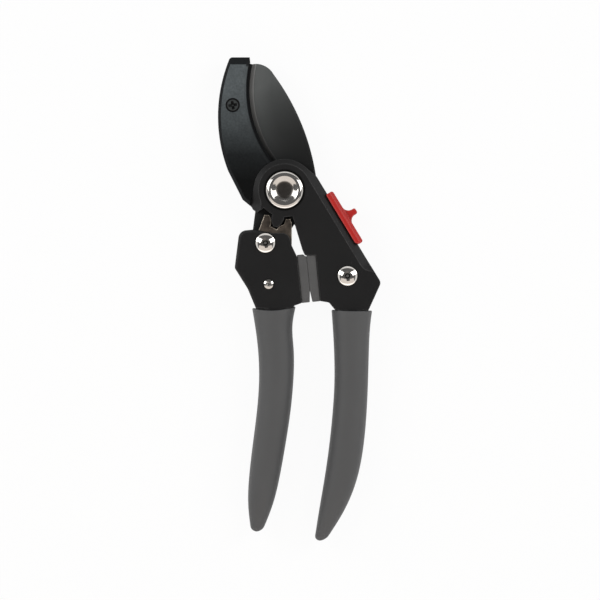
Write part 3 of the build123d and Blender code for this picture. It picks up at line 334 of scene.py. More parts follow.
class Paint:
    """A finish that is being mixed: its material, its Object coordinates and its surface shader."""

    def __init__(self, name):
        self.material = bpy.data.materials.new(name)
        self.material.use_nodes = True
        self.tree = self.material.node_tree
        self.tree.nodes.clear()
        self.place = self.node("TexCoord", out="Object")

    def node(self, kind, settings=None, sockets=None, out=0):
        """Adds a node with its settings first, then its values and links, and returns one output."""
        made = self.tree.nodes.new("ShaderNode" + kind)
        for key, value in (settings or {}).items():
            if key == "stops":
                for _ in range(len(value) - 2):
                    made.color_ramp.elements.new(0.5)
                for stop, (position, level) in zip(made.color_ramp.elements, value):
                    stop.position = position
                    stop.color = (level, level, level, 1.0)
            else:
                setattr(made, key, value)
        for key, value in (sockets or {}).items():
            if isinstance(value, Wire):
                self.tree.links.new(value.socket, made.inputs[key])
            else:
                made.inputs[key].default_value = value
        return Wire(self, made.outputs[out])

    def noise(self, scale, detail=3.0, stretch=None):
        """Noise from 0 to 1 in cycles per metre, drawn out along an axis where a stretch is given."""
        place = self.place
        if stretch:
            place = self.node("Mapping", None, {"Vector": place, "Scale": stretch})
        return self.node("TexNoise", None, {"Vector": place, "Scale": scale, "Detail": detail})

    def ramp(self, value, *stops):
        """Levels read off at a value, between stops of position and level."""
        return self.node("ValToRGB", {"stops": stops}, {"Fac": value})

    def swing(self, value, low, high):
        """A value from 0 to 1 made to run from one level to another."""
        return low + value * (high - low)

    def mix(self, share, first, second):
        """Mixes two colours; a plain colour is three numbers."""
        full = [c if isinstance(c, Wire) else (*c, 1.0) for c in (first, second)]
        return self.node("Mix", {"data_type": "RGBA"}, {0: share, 6: full[0], 7: full[1]}, out=2)

    def shade(self, colour, by):
        """A plain colour made lighter or darker by a value near 1."""
        return self.node("VectorMath", {"operation": "SCALE"}, {0: tuple(colour), "Scale": by})

    def along(self, direction, start, end):
        """0 to 1 along a direction in Object coordinates, between two distances from the origin."""
        given = {0: self.place, 1: direction}
        reach = self.node("VectorMath", {"operation": "DOT_PRODUCT"}, given, out="Value")
        return self.node("MapRange", None, {"Value": reach, "From Min": start, "From Max": end})

    def within(self, centre, inner, outer):
        """1 inside a radius of an axis along Z and 0 outside a wider one."""
        flat = self.node("VectorMath", {"operation": "MULTIPLY"}, {0: self.place, 1: (1.0, 1.0, 0.0)})
        axis = (centre[0], centre[1], 0.0)
        radius = self.node("VectorMath", {"operation": "DISTANCE"}, {0: flat, 1: axis}, out="Value")
        return self.node("MapRange", None, {"Value": radius, "From Min": outer, "From Max": inner})

    def inside_edge(self, inner, outer):
        """1 inside the cutting edge's arc and 0 outside it, fading between two millimetres out from it."""
        return self.within(EDGE_CENTRE * MM, (EDGE_RADIUS + inner) * MM, (EDGE_RADIUS + outer) * MM)

    def soft_normal(self, radius):
        """Normal that rounds the edges of a piece."""
        return self.node("Bevel", {"samples": 4}, {"Radius": radius})

    def edges(self, radius, low=0.02, high=0.25):
        """1 on the edges of a piece and 0 on its flats."""
        flat = self.node("NewGeometry", out="True Normal")
        given = {0: self.soft_normal(radius), 1: flat}
        facing = self.node("VectorMath", {"operation": "DOT_PRODUCT"}, given, out="Value")
        return self.ramp(1.0 - facing, (low, 0.0), (high, 1.0))

    def upward(self):
        """How squarely a surface faces the front or back of the shears."""
        flat = self.node("NewGeometry", out="True Normal")
        tall = self.node("SeparateXYZ", None, {0: flat}, out="Z")
        return self.node("Math", {"operation": "ABSOLUTE"}, {0: tall})

    def recess(self):
        """Near 1 on the slopes of a screw's cross recess and 0 on its head: the mask of the painted shade in
        the recess.
        """
        return self.ramp(self.upward(), (0.79, 0.92), (0.83, 0.0))

    def bump(self, height, distance, strength, normal=None):
        """Normal that a height pushes in and out, on top of another normal where one is given."""
        sockets = {"Height": height, "Distance": distance, "Strength": strength}
        if normal:
            sockets["Normal"] = normal
        return self.node("Bump", None, sockets)

    def finish(self, **sockets):
        """Wires the surface shader and returns the material. Socket names use _ for a space."""
        named = {key.replace("_", " "): value for key, value in sockets.items()}
        return self.surface(self.node("BsdfPrincipled", None, named))

    def surface(self, shader):
        """Sends a shader to the material's surface."""
        output = self.tree.nodes.new("ShaderNodeOutputMaterial")
        self.tree.links.new(shader.socket, output.inputs["Surface"])
        return self.material


def powder_coat(colours, name, seats):
    """Black powder coat: finely pebbled, paler on edges where it is thin and with a painted highlight there,
    with painted shadow round the screws' seats.
    """
    paint = Paint(name)
    pebble = paint.noise(scale=1900.0, detail=2.0)
    drift = paint.noise(scale=55.0, detail=4.0)
    rubbed = paint.ramp(paint.noise(scale=420.0), (0.3, 0.35), (0.7, 1.0))
    # Paler edges: partly thin, worn coat and partly a painted highlight along the ridges
    thin = paint.edges(radius=0.6 * MM, low=0.001, high=0.03) * rubbed
    coat = paint.shade(colours.casting, paint.swing(drift, 0.86, 1.14))
    colour = paint.mix(thin * 0.8, coat, THIN_COAT_AND_HIGHLIGHT)
    # Painted shadow ring round each screw's seat
    for centre, radius in seats:
        colour = paint.mix(paint.within(centre, radius, radius + SEAT_FADE * MM), colour, SEAT_SHADE)
    soft = paint.soft_normal(0.35 * MM)
    return paint.finish(
        Base_Color=colour,
        Roughness=paint.swing(drift, 0.42, 0.58),
        Specular_IOR_Level=0.2,
        Normal=paint.bump(pebble, distance=0.05 * MM, strength=0.35, normal=soft),
    )


def grip_vinyl(colours):
    """Soft vinyl: matte, faintly grained, with long rub marks down the sleeve."""
    paint = Paint("grip_vinyl")
    grain = paint.noise(scale=1500.0, detail=4.0)
    rub = paint.noise(scale=160.0, stretch=(1.0, 0.12, 1.0))
    cloud = paint.noise(scale=38.0, detail=2.0)
    return paint.finish(
        Base_Color=paint.shade(colours.grip, 0.9 + cloud * 0.12 + rub * 0.08),
        Roughness=paint.swing(rub, 0.5, 0.64),
        Specular_IOR_Level=0.4,
        Normal=paint.bump(grain, distance=0.04 * MM, strength=0.3),
    )


def bumper_rubber(colours):
    """Moulded rubber with a dusty bloom."""
    paint = Paint("bumper_rubber")
    grain = paint.noise(scale=1300.0, detail=4.0)
    bloom = paint.noise(scale=210.0, detail=4.0)
    soft = paint.soft_normal(0.4 * MM)
    return paint.finish(
        Base_Color=paint.shade(colours.rubber, paint.swing(bloom, 0.85, 1.15)),
        Roughness=paint.swing(bloom, 0.62, 0.74),
        Specular_IOR_Level=0.3,
        Normal=paint.bump(grain, distance=0.06 * MM, strength=0.4, normal=soft),
    )


def jaw_steel(colours):
    """Grained satin face with painted shade: darker toward the pivot, near-black bevels and a thin dark seam
    at the blade.
    """
    paint = Paint("jaw_steel")
    grain = paint.noise(scale=1100.0, detail=5.0)
    patch = paint.noise(scale=130.0, detail=4.0)
    # Painted light falloff: the face darkens from the tip down toward the pivot
    height = paint.along(TOWARD_TIP, 0.0, 44.0 * MM)
    fade = paint.ramp(height, (0.1, 0.03), (0.35, 0.13), (0.68, 0.66), (1.0, 1.0))
    grained = paint.shade(colours.jaw, fade * (0.35 + grain * 0.8 + patch * 0.5))
    # Painted shade on the bevels: flats and a band of the inner bevel take the lit face colour, the rest of
    # the bevels the near-black shade
    flat = paint.ramp(paint.upward(), (0.93, 0.0), (0.985, 1.0))
    inner_bevel = paint.inside_edge(2.2, 2.4) * (1.0 - paint.inside_edge(0.9, 1.2))
    below_top = 1.0 - paint.along(TOWARD_TIP, 53.0 * MM, 54.0 * MM)
    face = flat + (1.0 - flat) * inner_bevel * below_top
    colour = paint.mix(face, tuple(colours.jaw_bevel_shade), grained)
    colour = paint.mix(paint.edges(radius=0.3 * MM) * 0.12, colour, WORN_JAW)
    soft = paint.soft_normal(0.3 * MM)
    return paint.finish(
        Base_Color=colour,
        Roughness=paint.swing(grain, 0.4, 0.54),
        Specular_IOR_Level=0.1,
        Normal=paint.bump(grain, distance=0.06 * MM, strength=0.5, normal=soft),
    )


def blade_coat(colours):
    """Smooth matte coat with painted light, paler toward the tip and the cutting edge, with a ground bevel
    and rubbed edges.
    """
    paint = Paint("blade_coat")
    haze = paint.noise(scale=75.0, detail=4.0)
    speck = paint.noise(scale=1700.0)
    # Painted light: the coat and its ground bevel grow paler out along the blade toward the tip
    reach = paint.along(ALONG_BLADE, 6.0 * MM, 44.0 * MM)
    tip = reach * reach
    # Painted light near the cutting edge
    painted_edge_light = 1.0 - paint.inside_edge(-10.0, 0.0)
    tone = (0.85 + haze * 0.22 + speck * 0.08) * paint.swing(painted_edge_light, 0.84, 1.26)
    coat = paint.shade(colours.blade, paint.swing(tip, 0.08, 1.0) * tone)
    ground = paint.ramp(paint.upward(), (0.3, 0.0), (0.5, 1.0), (0.96, 1.0), (0.998, 0.0))
    colour = paint.mix(ground, coat, paint.shade(GROUND_EDGE, paint.swing(tip, 0.08, 0.93)))
    worn = paint.edges(radius=0.25 * MM, low=0.05, high=0.3)
    colour = paint.mix(worn * 0.3, colour, WORN_BLADE)
    soft = paint.soft_normal(1.2 * MM)
    return paint.finish(
        Base_Color=colour,
        Roughness=paint.swing(haze, 0.38, 0.48),
        Specular_IOR_Level=0.25,
        Normal=paint.bump(speck, distance=0.02 * MM, strength=0.25, normal=soft),
    )


def gear_sinter(colours):
    """Sintered steel: brown-black pores and paler rubbed edges."""
    paint = Paint("gear_sinter")
    pores = paint.noise(scale=900.0, detail=5.0)
    stain = paint.noise(scale=260.0, detail=4.0)
    mottle = paint.ramp(stain, (0.35, 0.1), (0.65, 1.6))
    worn = paint.edges(radius=0.7 * MM, low=0.002, high=0.06)
    rubbed = worn * paint.ramp(stain, (0.3, 0.55), (0.6, 1.0))
    colour = paint.shade(colours.gear, 0.35 + mottle + pores * 0.3)
    soft = paint.soft_normal(0.3 * MM)
    return paint.finish(
        Base_Color=paint.mix(rubbed, colour, RUBBED_SINTER),
        Metallic=paint.swing(worn, 0.55, 0.95),
        Roughness=paint.swing(pores, 0.34, 0.54),
        Normal=paint.bump(pores, distance=0.06 * MM, strength=0.5, normal=soft),
    )


def bright_plating(colours, name, dark_floor=None):
    """Bright plating with faint smears and painted shade in a cross recess; a dished head gets a painted dark
    reflection on its floor.
    """
    paint = Paint(name)
    smear = paint.noise(scale=240.0, detail=4.0)
    fine = paint.noise(scale=1500.0, detail=2.0)
    colour = paint.shade(colours.plating, paint.swing(smear, 0.86, 1.06))
    # Painted shade in the cross recess
    colour = paint.mix(paint.recess(), colour, SLOT_SHADE)
    rough = paint.swing(smear, 0.06, 0.14)
    if dark_floor:
        # Painted dark reflection on the dished floor of the pivot's head
        floor = paint.within(MAIN_PIVOT, inner=0.86 * dark_floor, outer=dark_floor)
        colour = paint.mix(floor * paint.swing(smear, 0.8, 1.0), colour, FLOOR_REFLECTION_DARK)
        rough = rough + floor * 0.22
    return paint.finish(
        Base_Color=colour,
        Metallic=1.0,
        Roughness=rough,
        Normal=paint.bump(fine, distance=0.01 * MM, strength=0.2),
    )


def black_oxide(centre, radius):
    """Blackened steel of a screw, paler inside a painted black shadow ring at its rim, with painted shade in
    its recess.
    """
    paint = Paint("black_oxide")
    smear = paint.noise(scale=500.0, detail=4.0)
    # Painted shadow: a black ring at the rim of the head; painted shade also darkens the recess
    rubbed = paint.within(centre, inner=0.72 * radius, outer=0.8 * radius)
    colour = paint.mix(rubbed, OXIDE_RIM_SHADOW, paint.shade(RUBBED_OXIDE, paint.swing(smear, 0.5, 1.5)))
    return paint.finish(
        Base_Color=paint.mix(paint.recess(), colour, OXIDE_SLOT_SHADE),
        Roughness=paint.swing(smear, 0.4, 0.6),
        Specular_IOR_Level=0.12,
        Normal=paint.soft_normal(0.15 * MM),
    )


def anvil_plastic():
    """Hard black plastic, scored across by the blade."""
    paint = Paint("anvil_plastic")
    score = paint.noise(scale=700.0, detail=4.0, stretch=(0.2, 1.0, 1.0))
    return paint.finish(
        Base_Color=paint.shade(ANVIL_BLACK, paint.swing(score, 0.7, 1.3)),
        Roughness=paint.swing(score, 0.6, 0.8),
        Specular_IOR_Level=0.08,
        Normal=paint.bump(score, distance=0.05 * MM, strength=0.4),
    )


def lock_plastic(colours):
    """Low-gloss red plastic, with a painted highlight on its edges and crease."""
    paint = Paint("lock_plastic")
    skin = paint.noise(scale=1100.0)
    tone = paint.noise(scale=90.0)
    # Painted highlight along the slide's edges and crease
    worn = paint.edges(radius=0.9 * MM, low=0.001, high=0.03)
    soft = paint.soft_normal(0.45 * MM)
    return paint.finish(
        Base_Color=paint.mix(worn * 0.75, paint.shade(colours.lock, paint.swing(tone, 0.9, 1.1)), LOCK_EDGE_HIGHLIGHT),
        Roughness=paint.swing(tone, 0.4, 0.52),
        Specular_IOR_Level=0.35,
        Normal=paint.bump(skin, distance=0.03 * MM, strength=0.25, normal=soft),
    )


def plain_metal(name, colour, rough):
    """Bare metal of the inner pieces, with drawn marks and a little tarnish."""
    paint = Paint(name)
    drawn = paint.noise(scale=900.0, stretch=(1.0, 1.0, 0.15))
    tarnish = paint.noise(scale=170.0, detail=4.0)
    return paint.finish(
        Base_Color=paint.shade(colour, 0.75 + tarnish * 0.35 + drawn * 0.15),
        Metallic=1.0,
        Roughness=paint.swing(tarnish, rough, rough + 0.15),
        Normal=paint.bump(drawn, distance=0.02 * MM, strength=0.3),
    )


def washer_plastic():
    """Dull dark slip plastic of the thrust washers."""
    paint = Paint("washer_plastic")
    grain = paint.noise(scale=800.0, detail=4.0)
    return paint.finish(
        Base_Color=paint.shade(WASHER_BLACK, paint.swing(grain, 0.7, 1.3)),
        Roughness=paint.swing(grain, 0.5, 0.7),
        Normal=paint.bump(grain, distance=0.03 * MM, strength=0.3),
    )


def dress(material, *nodes):
    """Gives CAD nodes a finish."""
    for name in nodes:
        mesh = frame["nodes"][name].data
        mesh.materials.clear()
        mesh.materials.append(material)


def new_piece(name, mesh, material, body, slot, *nodes):
    """Links a finished mesh that rides on a body and stands for CAD nodes."""
    piece = bpy.data.objects.new(name, mesh)
    bpy.context.scene.collection.objects.link(piece)
    mesh.materials.clear()
    mesh.materials.append(material)
    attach(piece, body)
    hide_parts(*nodes)
    return piece


def plain_mesh(name, work):
    """Mesh made from a working mesh, which is freed."""
    mesh = bpy.data.meshes.new(name)
    work.to_mesh(mesh)
    work.free()
    return mesh


def raise_new(work, drawn, height):
    """Lifts the points that an extrusion has just drawn."""
    points = [part for part in drawn["geom"] if isinstance(part, bmesh.types.BMVert)]
    bmesh.ops.translate(work, verts=points, vec=(0, 0, height))


def signed_power(value, exponent):
    """Power of a number's size, with its sign kept."""
    return copysign(abs(value) ** exponent, value)


def natural_cubic(xs, ys, x):
    """Value at x of the natural cubic spline through points whose xs increase."""
    count = len(xs)
    bend = [0.0] * count
    carry = [0.0] * count
    for i in range(1, count - 1):
        share = (xs[i] - xs[i - 1]) / (xs[i + 1] - xs[i - 1])
        divisor = share * bend[i - 1] + 2.0
        bend[i] = (share - 1.0) / divisor
        slope = (ys[i + 1] - ys[i]) / (xs[i + 1] - xs[i]) - (ys[i] - ys[i - 1]) / (xs[i] - xs[i - 1])
        carry[i] = (6.0 * slope / (xs[i + 1] - xs[i - 1]) - share * carry[i - 1]) / divisor
    curve = [0.0] * count
    for i in range(count - 2, 0, -1):
        curve[i] = bend[i] * curve[i + 1] + carry[i]
    i = max(0, min(count - 2, sum(1 for known in xs if known <= x) - 1))
    span = xs[i + 1] - xs[i]
    a = (xs[i + 1] - x) / span
    b = (x - xs[i]) / span
    bent = ((a ** 3 - a) * curve[i] + (b ** 3 - b) * curve[i + 1]) * span * span / 6.0
    return a * ys[i] + b * ys[i + 1] + bent


def grip_rings(sections, mouth, pivot, sizes):
    """Rings of points of a sleeve: up its inner wall, over the lip, down its sides and round its end."""
    drops, *columns = zip(*sections)
    top, end = drops[0], drops[-1]
    lip = sizes.lip / MM
    wall = sizes.wall / MM
    flare = sizes.flare / MM
    exponent = 2 / sizes.squareness

    def ring(drop, inset):
        middle, width, thick = (natural_cubic(drops, column, drop) for column in columns)
        half_x = max(LEAST_HALF_WIDTH, width / 2 - inset) * MM
        half_z = max(LEAST_HALF_WIDTH, thick / 2 - inset) * MM
        fade = max(0.0, 1 - (drop - top) / flare) ** 2
        rise, sag, tilt = (fade * amount for amount in mouth)
        points = []
        for step in range(sizes.around):
            angle = 2 * pi * step / sizes.around
            across = signed_power(cos(angle), exponent)
            up = signed_power(sin(angle), exponent)
            bent = drop - rise + sag * (1 - across * across) - tilt * across
            x = pivot.x + middle * MM + half_x * across
            points.append(Vector((x, pivot.y - bent * MM, sizes.middle + half_z * up)))
        return points

    rings = [ring(top + depth, wall) for depth in (*INNER_DEPTHS, lip)]
    for step in range(1, LIP_STEPS):
        angle = pi * step / LIP_STEPS
        middle = wall - lip if step <= LIP_STEPS / 2 else lip
        rings.append(ring(top + lip * (1 - sin(angle)), middle + lip * cos(angle)))
    start, reach = top + lip, end - DOME_LENGTH
    for step in range(sizes.rings + 1):
        rings.append(ring(start + (reach - start) * step / sizes.rings, 0.0))
    half = min(column[-1] for column in columns[1:]) / 2
    for step in range(1, DOME_STEPS):
        angle = pi / 2 * step / DOME_STEPS
        rings.append(ring(reach + DOME_LENGTH * sin(angle), half * (1 - cos(angle))))
    return rings


def sleeve_mesh(name, rings):
    """Closed smooth mesh through rings of points, with a fan of faces at each end."""
    work = bmesh.new()
    rows = [[work.verts.new(point) for point in points] for points in rings]
    for upper, lower in zip(rows, rows[1:]):
        for i in range(len(upper)):
            j = (i + 1) % len(upper)
            work.faces.new((upper[i], upper[j], lower[j], lower[i]))
    for row in (rows[0], rows[-1]):
        middle = work.verts.new(sum((vert.co for vert in row), Vector()) / len(row))
        for i in range(len(row)):
            work.faces.new((row[i], row[(i + 1) % len(row)], middle))
    bmesh.ops.remove_doubles(work, verts=work.verts, dist=SAME_POINT)
    bmesh.ops.recalc_face_normals(work, faces=work.faces)
    for face in work.faces:
        face.smooth = True
    return plain_mesh(name, work)


def turned_mesh(name, profile, steps):
    """Solid turned about the Z axis from a profile of radius and height, its ends on the axis."""
    work = bmesh.new()
    rows = []
    for radius, height in profile:
        angles = [2 * pi * i / steps for i in range(steps if radius else 1)]
        rows.append([work.verts.new((radius * cos(a), radius * sin(a), height)) for a in angles])
    for upper, lower in zip(rows, rows[1:]):
        for i in range(steps):
            j = (i + 1) % steps
            pairs = ((upper, i), (upper, j), (lower, j), (lower, i))
            corners = [row[k % len(row)] for row, k in pairs]
            work.faces.new(list(dict.fromkeys(corners)))
    bmesh.ops.recalc_face_normals(work, faces=work.faces)
    for face in work.faces:
        face.smooth = True
    for edge in work.edges:
        if len(edge.link_faces) == 2 and edge.calc_face_angle() > PIVOT_CRISP_ANGLE:
            edge.smooth = False
    return plain_mesh(name, work)


def pad_mesh(name, outline, low, high, edge):
    """Pad with a flat outline between two heights and rounded edges."""
    work = bmesh.new()
    base = work.faces.new([work.verts.new((point.x, point.y, low)) for point in outline])
    raise_new(work, bmesh.ops.extrude_face_region(work, geom=[base]), high - low)
    bmesh.ops.recalc_face_normals(work, faces=work.faces)
    sharp = [part for part in work.edges if part.calc_face_angle() > PAD_CORNER_ANGLE]
    bmesh.ops.bevel(work, geom=sharp, offset=edge, segments=PAD_EDGE_STEPS, profile=0.5, affect="EDGES")
    return plain_mesh(name, work)


def cross_head_tree():
    """Node tree of a cross-head screw: a crowned head, a tapered cross recess and a shank."""
    tree = bpy.data.node_groups.new("cross_head_screw", "GeometryNodeTree")
    tree.interface.new_socket("Geometry", in_out="INPUT", socket_type="NodeSocketGeometry")
    for name in (
        "Head Radius",
        "Head Height",
        "Crown",
        "Foot",
        "Slot Span",
        "Slot Width",
        "Slot Depth",
        "Shank Radius",
        "Shank Length",
        "Turn",
    ):
        tree.interface.new_socket(name, in_out="INPUT", socket_type="NodeSocketFloat")
    tree.interface.new_socket("Seat", in_out="INPUT", socket_type="NodeSocketVector")
    tree.interface.new_socket("Finish", in_out="INPUT", socket_type="NodeSocketMaterial")
    tree.interface.new_socket("Geometry", in_out="OUTPUT", socket_type="NodeSocketGeometry")
    given = tree.nodes.new("NodeGroupInput").outputs

    def node(kind, settings=None, sockets=None):
        made = tree.nodes.new(kind)
        for key, value in (settings or {}).items():
            setattr(made, key, value)
        for key, value in (sockets or {}).items():
            for one in value if isinstance(value, list) else [value]:
                if isinstance(one, bpy.types.NodeSocket):
                    tree.links.new(one, made.inputs[key])
                else:
                    made.inputs[key].default_value = one
        return made.outputs

    def maths(operation, first, second=0.0):
        return node("ShaderNodeMath", {"operation": operation}, {0: first, 1: second})[0]

    def times(first, second):
        return maths("MULTIPLY", first, second)

    def vector(x=0.0, y=0.0, z=0.0):
        return node("ShaderNodeCombineXYZ", None, {0: x, 1: y, 2: z})[0]

    def lifted(geometry, height):
        moved = {"Geometry": geometry, "Translation": vector(z=height)}
        return node("GeometryNodeTransform", None, moved)["Geometry"]

    def round_solid(kind, sockets):
        return node(kind, {"fill_type": "TRIANGLE_FAN"}, sockets)["Mesh"]

    def boolean(operation, sockets):
        return node("GeometryNodeMeshBoolean", {"operation": operation, "solver": "EXACT"}, sockets)["Mesh"]

    blank = round_solid("GeometryNodeMeshCylinder", {
        "Vertices": HEAD_STEPS,
        "Side Segments": 2,
        "Fill Segments": HEAD_RINGS,
        "Radius": given["Head Radius"],
        "Depth": given["Head Height"],
    })
    blank = lifted(blank, times(given["Head Height"], 0.5))
    at = node("ShaderNodeSeparateXYZ", None, {0: node("GeometryNodeInputPosition")[0]})
    squares = maths("ADD", maths("POWER", at["X"], 2.0), maths("POWER", at["Y"], 2.0))
    out = maths("DIVIDE", maths("SQRT", squares), given["Head Radius"])
    fall = times(maths("POWER", out, CROWN_POWER), times(given["Crown"], -1.0))
    raised = maths("DIVIDE", at["Z"], given["Head Height"])
    drawn = times(maths("SUBTRACT", given["Foot"], 1.0), maths("SUBTRACT", 1.0, raised))
    shift = vector(times(at["X"], drawn), times(at["Y"], drawn), times(fall, raised))
    crowned = node("GeometryNodeSetPosition", None, {"Geometry": blank, "Offset": shift})[0]

    shank = round_solid("GeometryNodeMeshCylinder", {
        "Vertices": SHANK_STEPS,
        "Radius": given["Shank Radius"],
        "Depth": given["Shank Length"],
    })
    shank = lifted(shank, times(maths("SUBTRACT", given["Shank Length"], 2 * SHANK_OVERLAP), -0.5))
    bolt = boolean("UNION", {"Mesh 2": [crowned, shank]})

    tall = times(given["Slot Depth"], 2.0)
    bars = [
        node("GeometryNodeMeshCube", None, {"Size": vector(given[first], given[second], tall)})["Mesh"]
        for first, second in (("Slot Span", "Slot Width"), ("Slot Width", "Slot Span"))
    ]
    cross = boolean("UNION", {"Mesh 2": bars})
    cone = round_solid("GeometryNodeMeshCone", {
        "Vertices": SHANK_STEPS,
        "Radius Top": times(given["Slot Span"], RECESS_TOP),
        "Radius Bottom": times(given["Slot Span"], RECESS_FOOT),
        "Depth": tall,
    })
    cone = lifted(cone, times(given["Slot Depth"], -1.0))
    recess = lifted(boolean("INTERSECT", {"Mesh 2": [cross, cone]}), given["Head Height"])
    cut = boolean("DIFFERENCE", {"Mesh 1": bolt, "Mesh 2": recess})

    smooth = node("GeometryNodeSetShadeSmooth", {"domain": "FACE"}, {"Geometry": cut})[0]
    angle = node("GeometryNodeInputMeshEdgeAngle")["Unsigned Angle"]
    gentle = node("FunctionNodeCompare", {"operation": "LESS_THAN"}, {0: angle, 1: SCREW_CRISP_ANGLE})[0]
    shaded = {"Geometry": smooth, "Shade Smooth": gentle}
    smooth = node("GeometryNodeSetShadeSmooth", {"domain": "EDGE"}, shaded)[0]
    placed = node("GeometryNodeTransform", None, {
        "Geometry": smooth,
        "Translation": given["Seat"],
        "Rotation": vector(z=given["Turn"]),
    })["Geometry"]
    real = node("GeometryNodeRealizeInstances", None, {"Geometry": placed})[0]
    done = node("GeometryNodeSetMaterial", None, {"Geometry": real, "Material": given["Finish"]})[0]
    tree.links.new(done, tree.nodes.new("NodeGroupOutput").inputs[0])
    return tree


def grown_mesh(name, tree, values):
    """Plain mesh that a node tree makes from named values."""
    holder = bpy.data.objects.new(name + "_seed", bpy.data.meshes.new(name + "_seed"))
    bpy.context.scene.collection.objects.link(holder)
    modifier = holder.modifiers.new("nodes", "NODES")
    modifier.node_group = tree
    for socket in tree.interface.items_tree:
        if socket.in_out == "INPUT" and socket.name in values:
            modifier[socket.identifier] = values[socket.name]
    bpy.context.view_layer.update()
    graph = bpy.context.evaluated_depsgraph_get()
    grown = holder.evaluated_get(graph)
    mesh = bpy.data.meshes.new_from_object(grown, preserve_all_data_layers=True, depsgraph=graph)
    mesh.name = name
    holder.modifiers.remove(modifier)
    bpy.data.objects.remove(holder)
    if not mesh.polygons:
        raise RuntimeError(f"{name}: the node tree made no faces")
    return mesh


class SHEARS_OT_castings(bpy.types.Operator):
    """Coat the cast handles and finish the jaw, the anvil, the gear plate, the nuts and the inner pieces."""

    bl_idname = "shears.castings"
    bl_label = "Finish the castings and steel pieces"

    def execute(self, context):
        colours = context.scene.shears_finishes
        # Each casting gets painted shadow rings round its screws' seats
        for node, margins in SEAT_MARGINS.items():
            seats = []
            for screw, margin in margins.items():
                low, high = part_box(screw)
                centre = frame["nodes"][node].matrix_world.inverted() @ ((low + high) / 2)
                seats.append((centre, (high.x - low.x) / 2 + margin * MM))
            dress(powder_coat(colours, "powder_coat_" + node, seats), node)
        dress(jaw_steel(colours), "anvil_jaw")
        dress(anvil_plastic(), "anvil_insert")
        dress(gear_sinter(colours), "gear_plate")
        dress(washer_plastic(), "front_thrust_washer", "rear_thrust_washer")
        dress(plain_metal("bushing_bronze", BRONZE, rough=0.3), "blade_bushing", "arm_bushing")
        dress(plain_metal("spring_steel", SPRING_STEEL, rough=0.25), "return_spring")
        dress(plain_metal("bolt_steel", BOLT_STEEL, rough=0.3), "lock_bolt")
        nuts = ("jaw_barrel_nut", "handle_barrel_nut", "pivot_barrel_nut")
        dress(bright_plating(colours, "nut_plating"), *nuts)
        return {"FINISHED"}


class SHEARS_OT_blade(bpy.types.Operator):
    """Coat the blade and grind its edge."""

    bl_idname = "shears.blade"
    bl_label = "Finish the blade"

    def execute(self, context):
        dress(blade_coat(context.scene.shears_finishes), "blade")
        return {"FINISHED"}


class SHEARS_OT_grips(bpy.types.Operator):
    """Draw the soft sleeves over the handles."""

    bl_idname = "shears.grips"
    bl_label = "Make the grips"

    def execute(self, context):
        sizes = context.scene.shears_grips
        vinyl = grip_vinyl(context.scene.shears_finishes)
        for side, sections, mouth, pivot in (
            ("right", RIGHT_GRIP, RIGHT_MOUTH, MAIN_PIVOT),
            ("left", LEFT_GRIP, LEFT_MOUTH, LEFT_PIVOT),
        ):
            mesh = sleeve_mesh(side + "_sleeve", grip_rings(sections, mouth, pivot, sizes))
            new_piece(side + "_sleeve", mesh, vinyl, side + "_handle", "grip", side + "_grip")
        return {"FINISHED"}


class SHEARS_OT_bumpers(bpy.types.Operator):
    """Make the rubber stop pads between the handles."""

    bl_idname = "shears.bumpers"
    bl_label = "Make the bumpers"

    def execute(self, context):
        sizes = context.scene.shears_bumpers
        rubber = bumper_rubber(context.scene.shears_finishes)
        down = Vector((sin(sizes.lean), -cos(sizes.lean))) * MM
        right = Vector((cos(sizes.lean), sin(sizes.lean))) * MM
        top = Vector((sizes.top_x, sizes.top_y))
        for side, corners in (("right", RIGHT_PAD), ("left", LEFT_PAD)):
            low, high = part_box(side + "_bumper")
            outline = [top + down * drop + right * reach for drop, reach in corners]
            mesh = pad_mesh(side + "_pad", outline, low.z - sizes.proud, high.z + sizes.proud, sizes.edge)
            new_piece(side + "_pad", mesh, rubber, side + "_handle", "bumper", side + "_bumper")
        return {"FINISHED"}


class SHEARS_OT_lock(bpy.types.Operator):
    """Finish the red lock on the edge of the right handle."""

    bl_idname = "shears.lock"
    bl_label = "Finish the lock"

    def execute(self, context):
        dress(lock_plastic(context.scene.shears_finishes), "lock_slide")
        return {"FINISHED"}


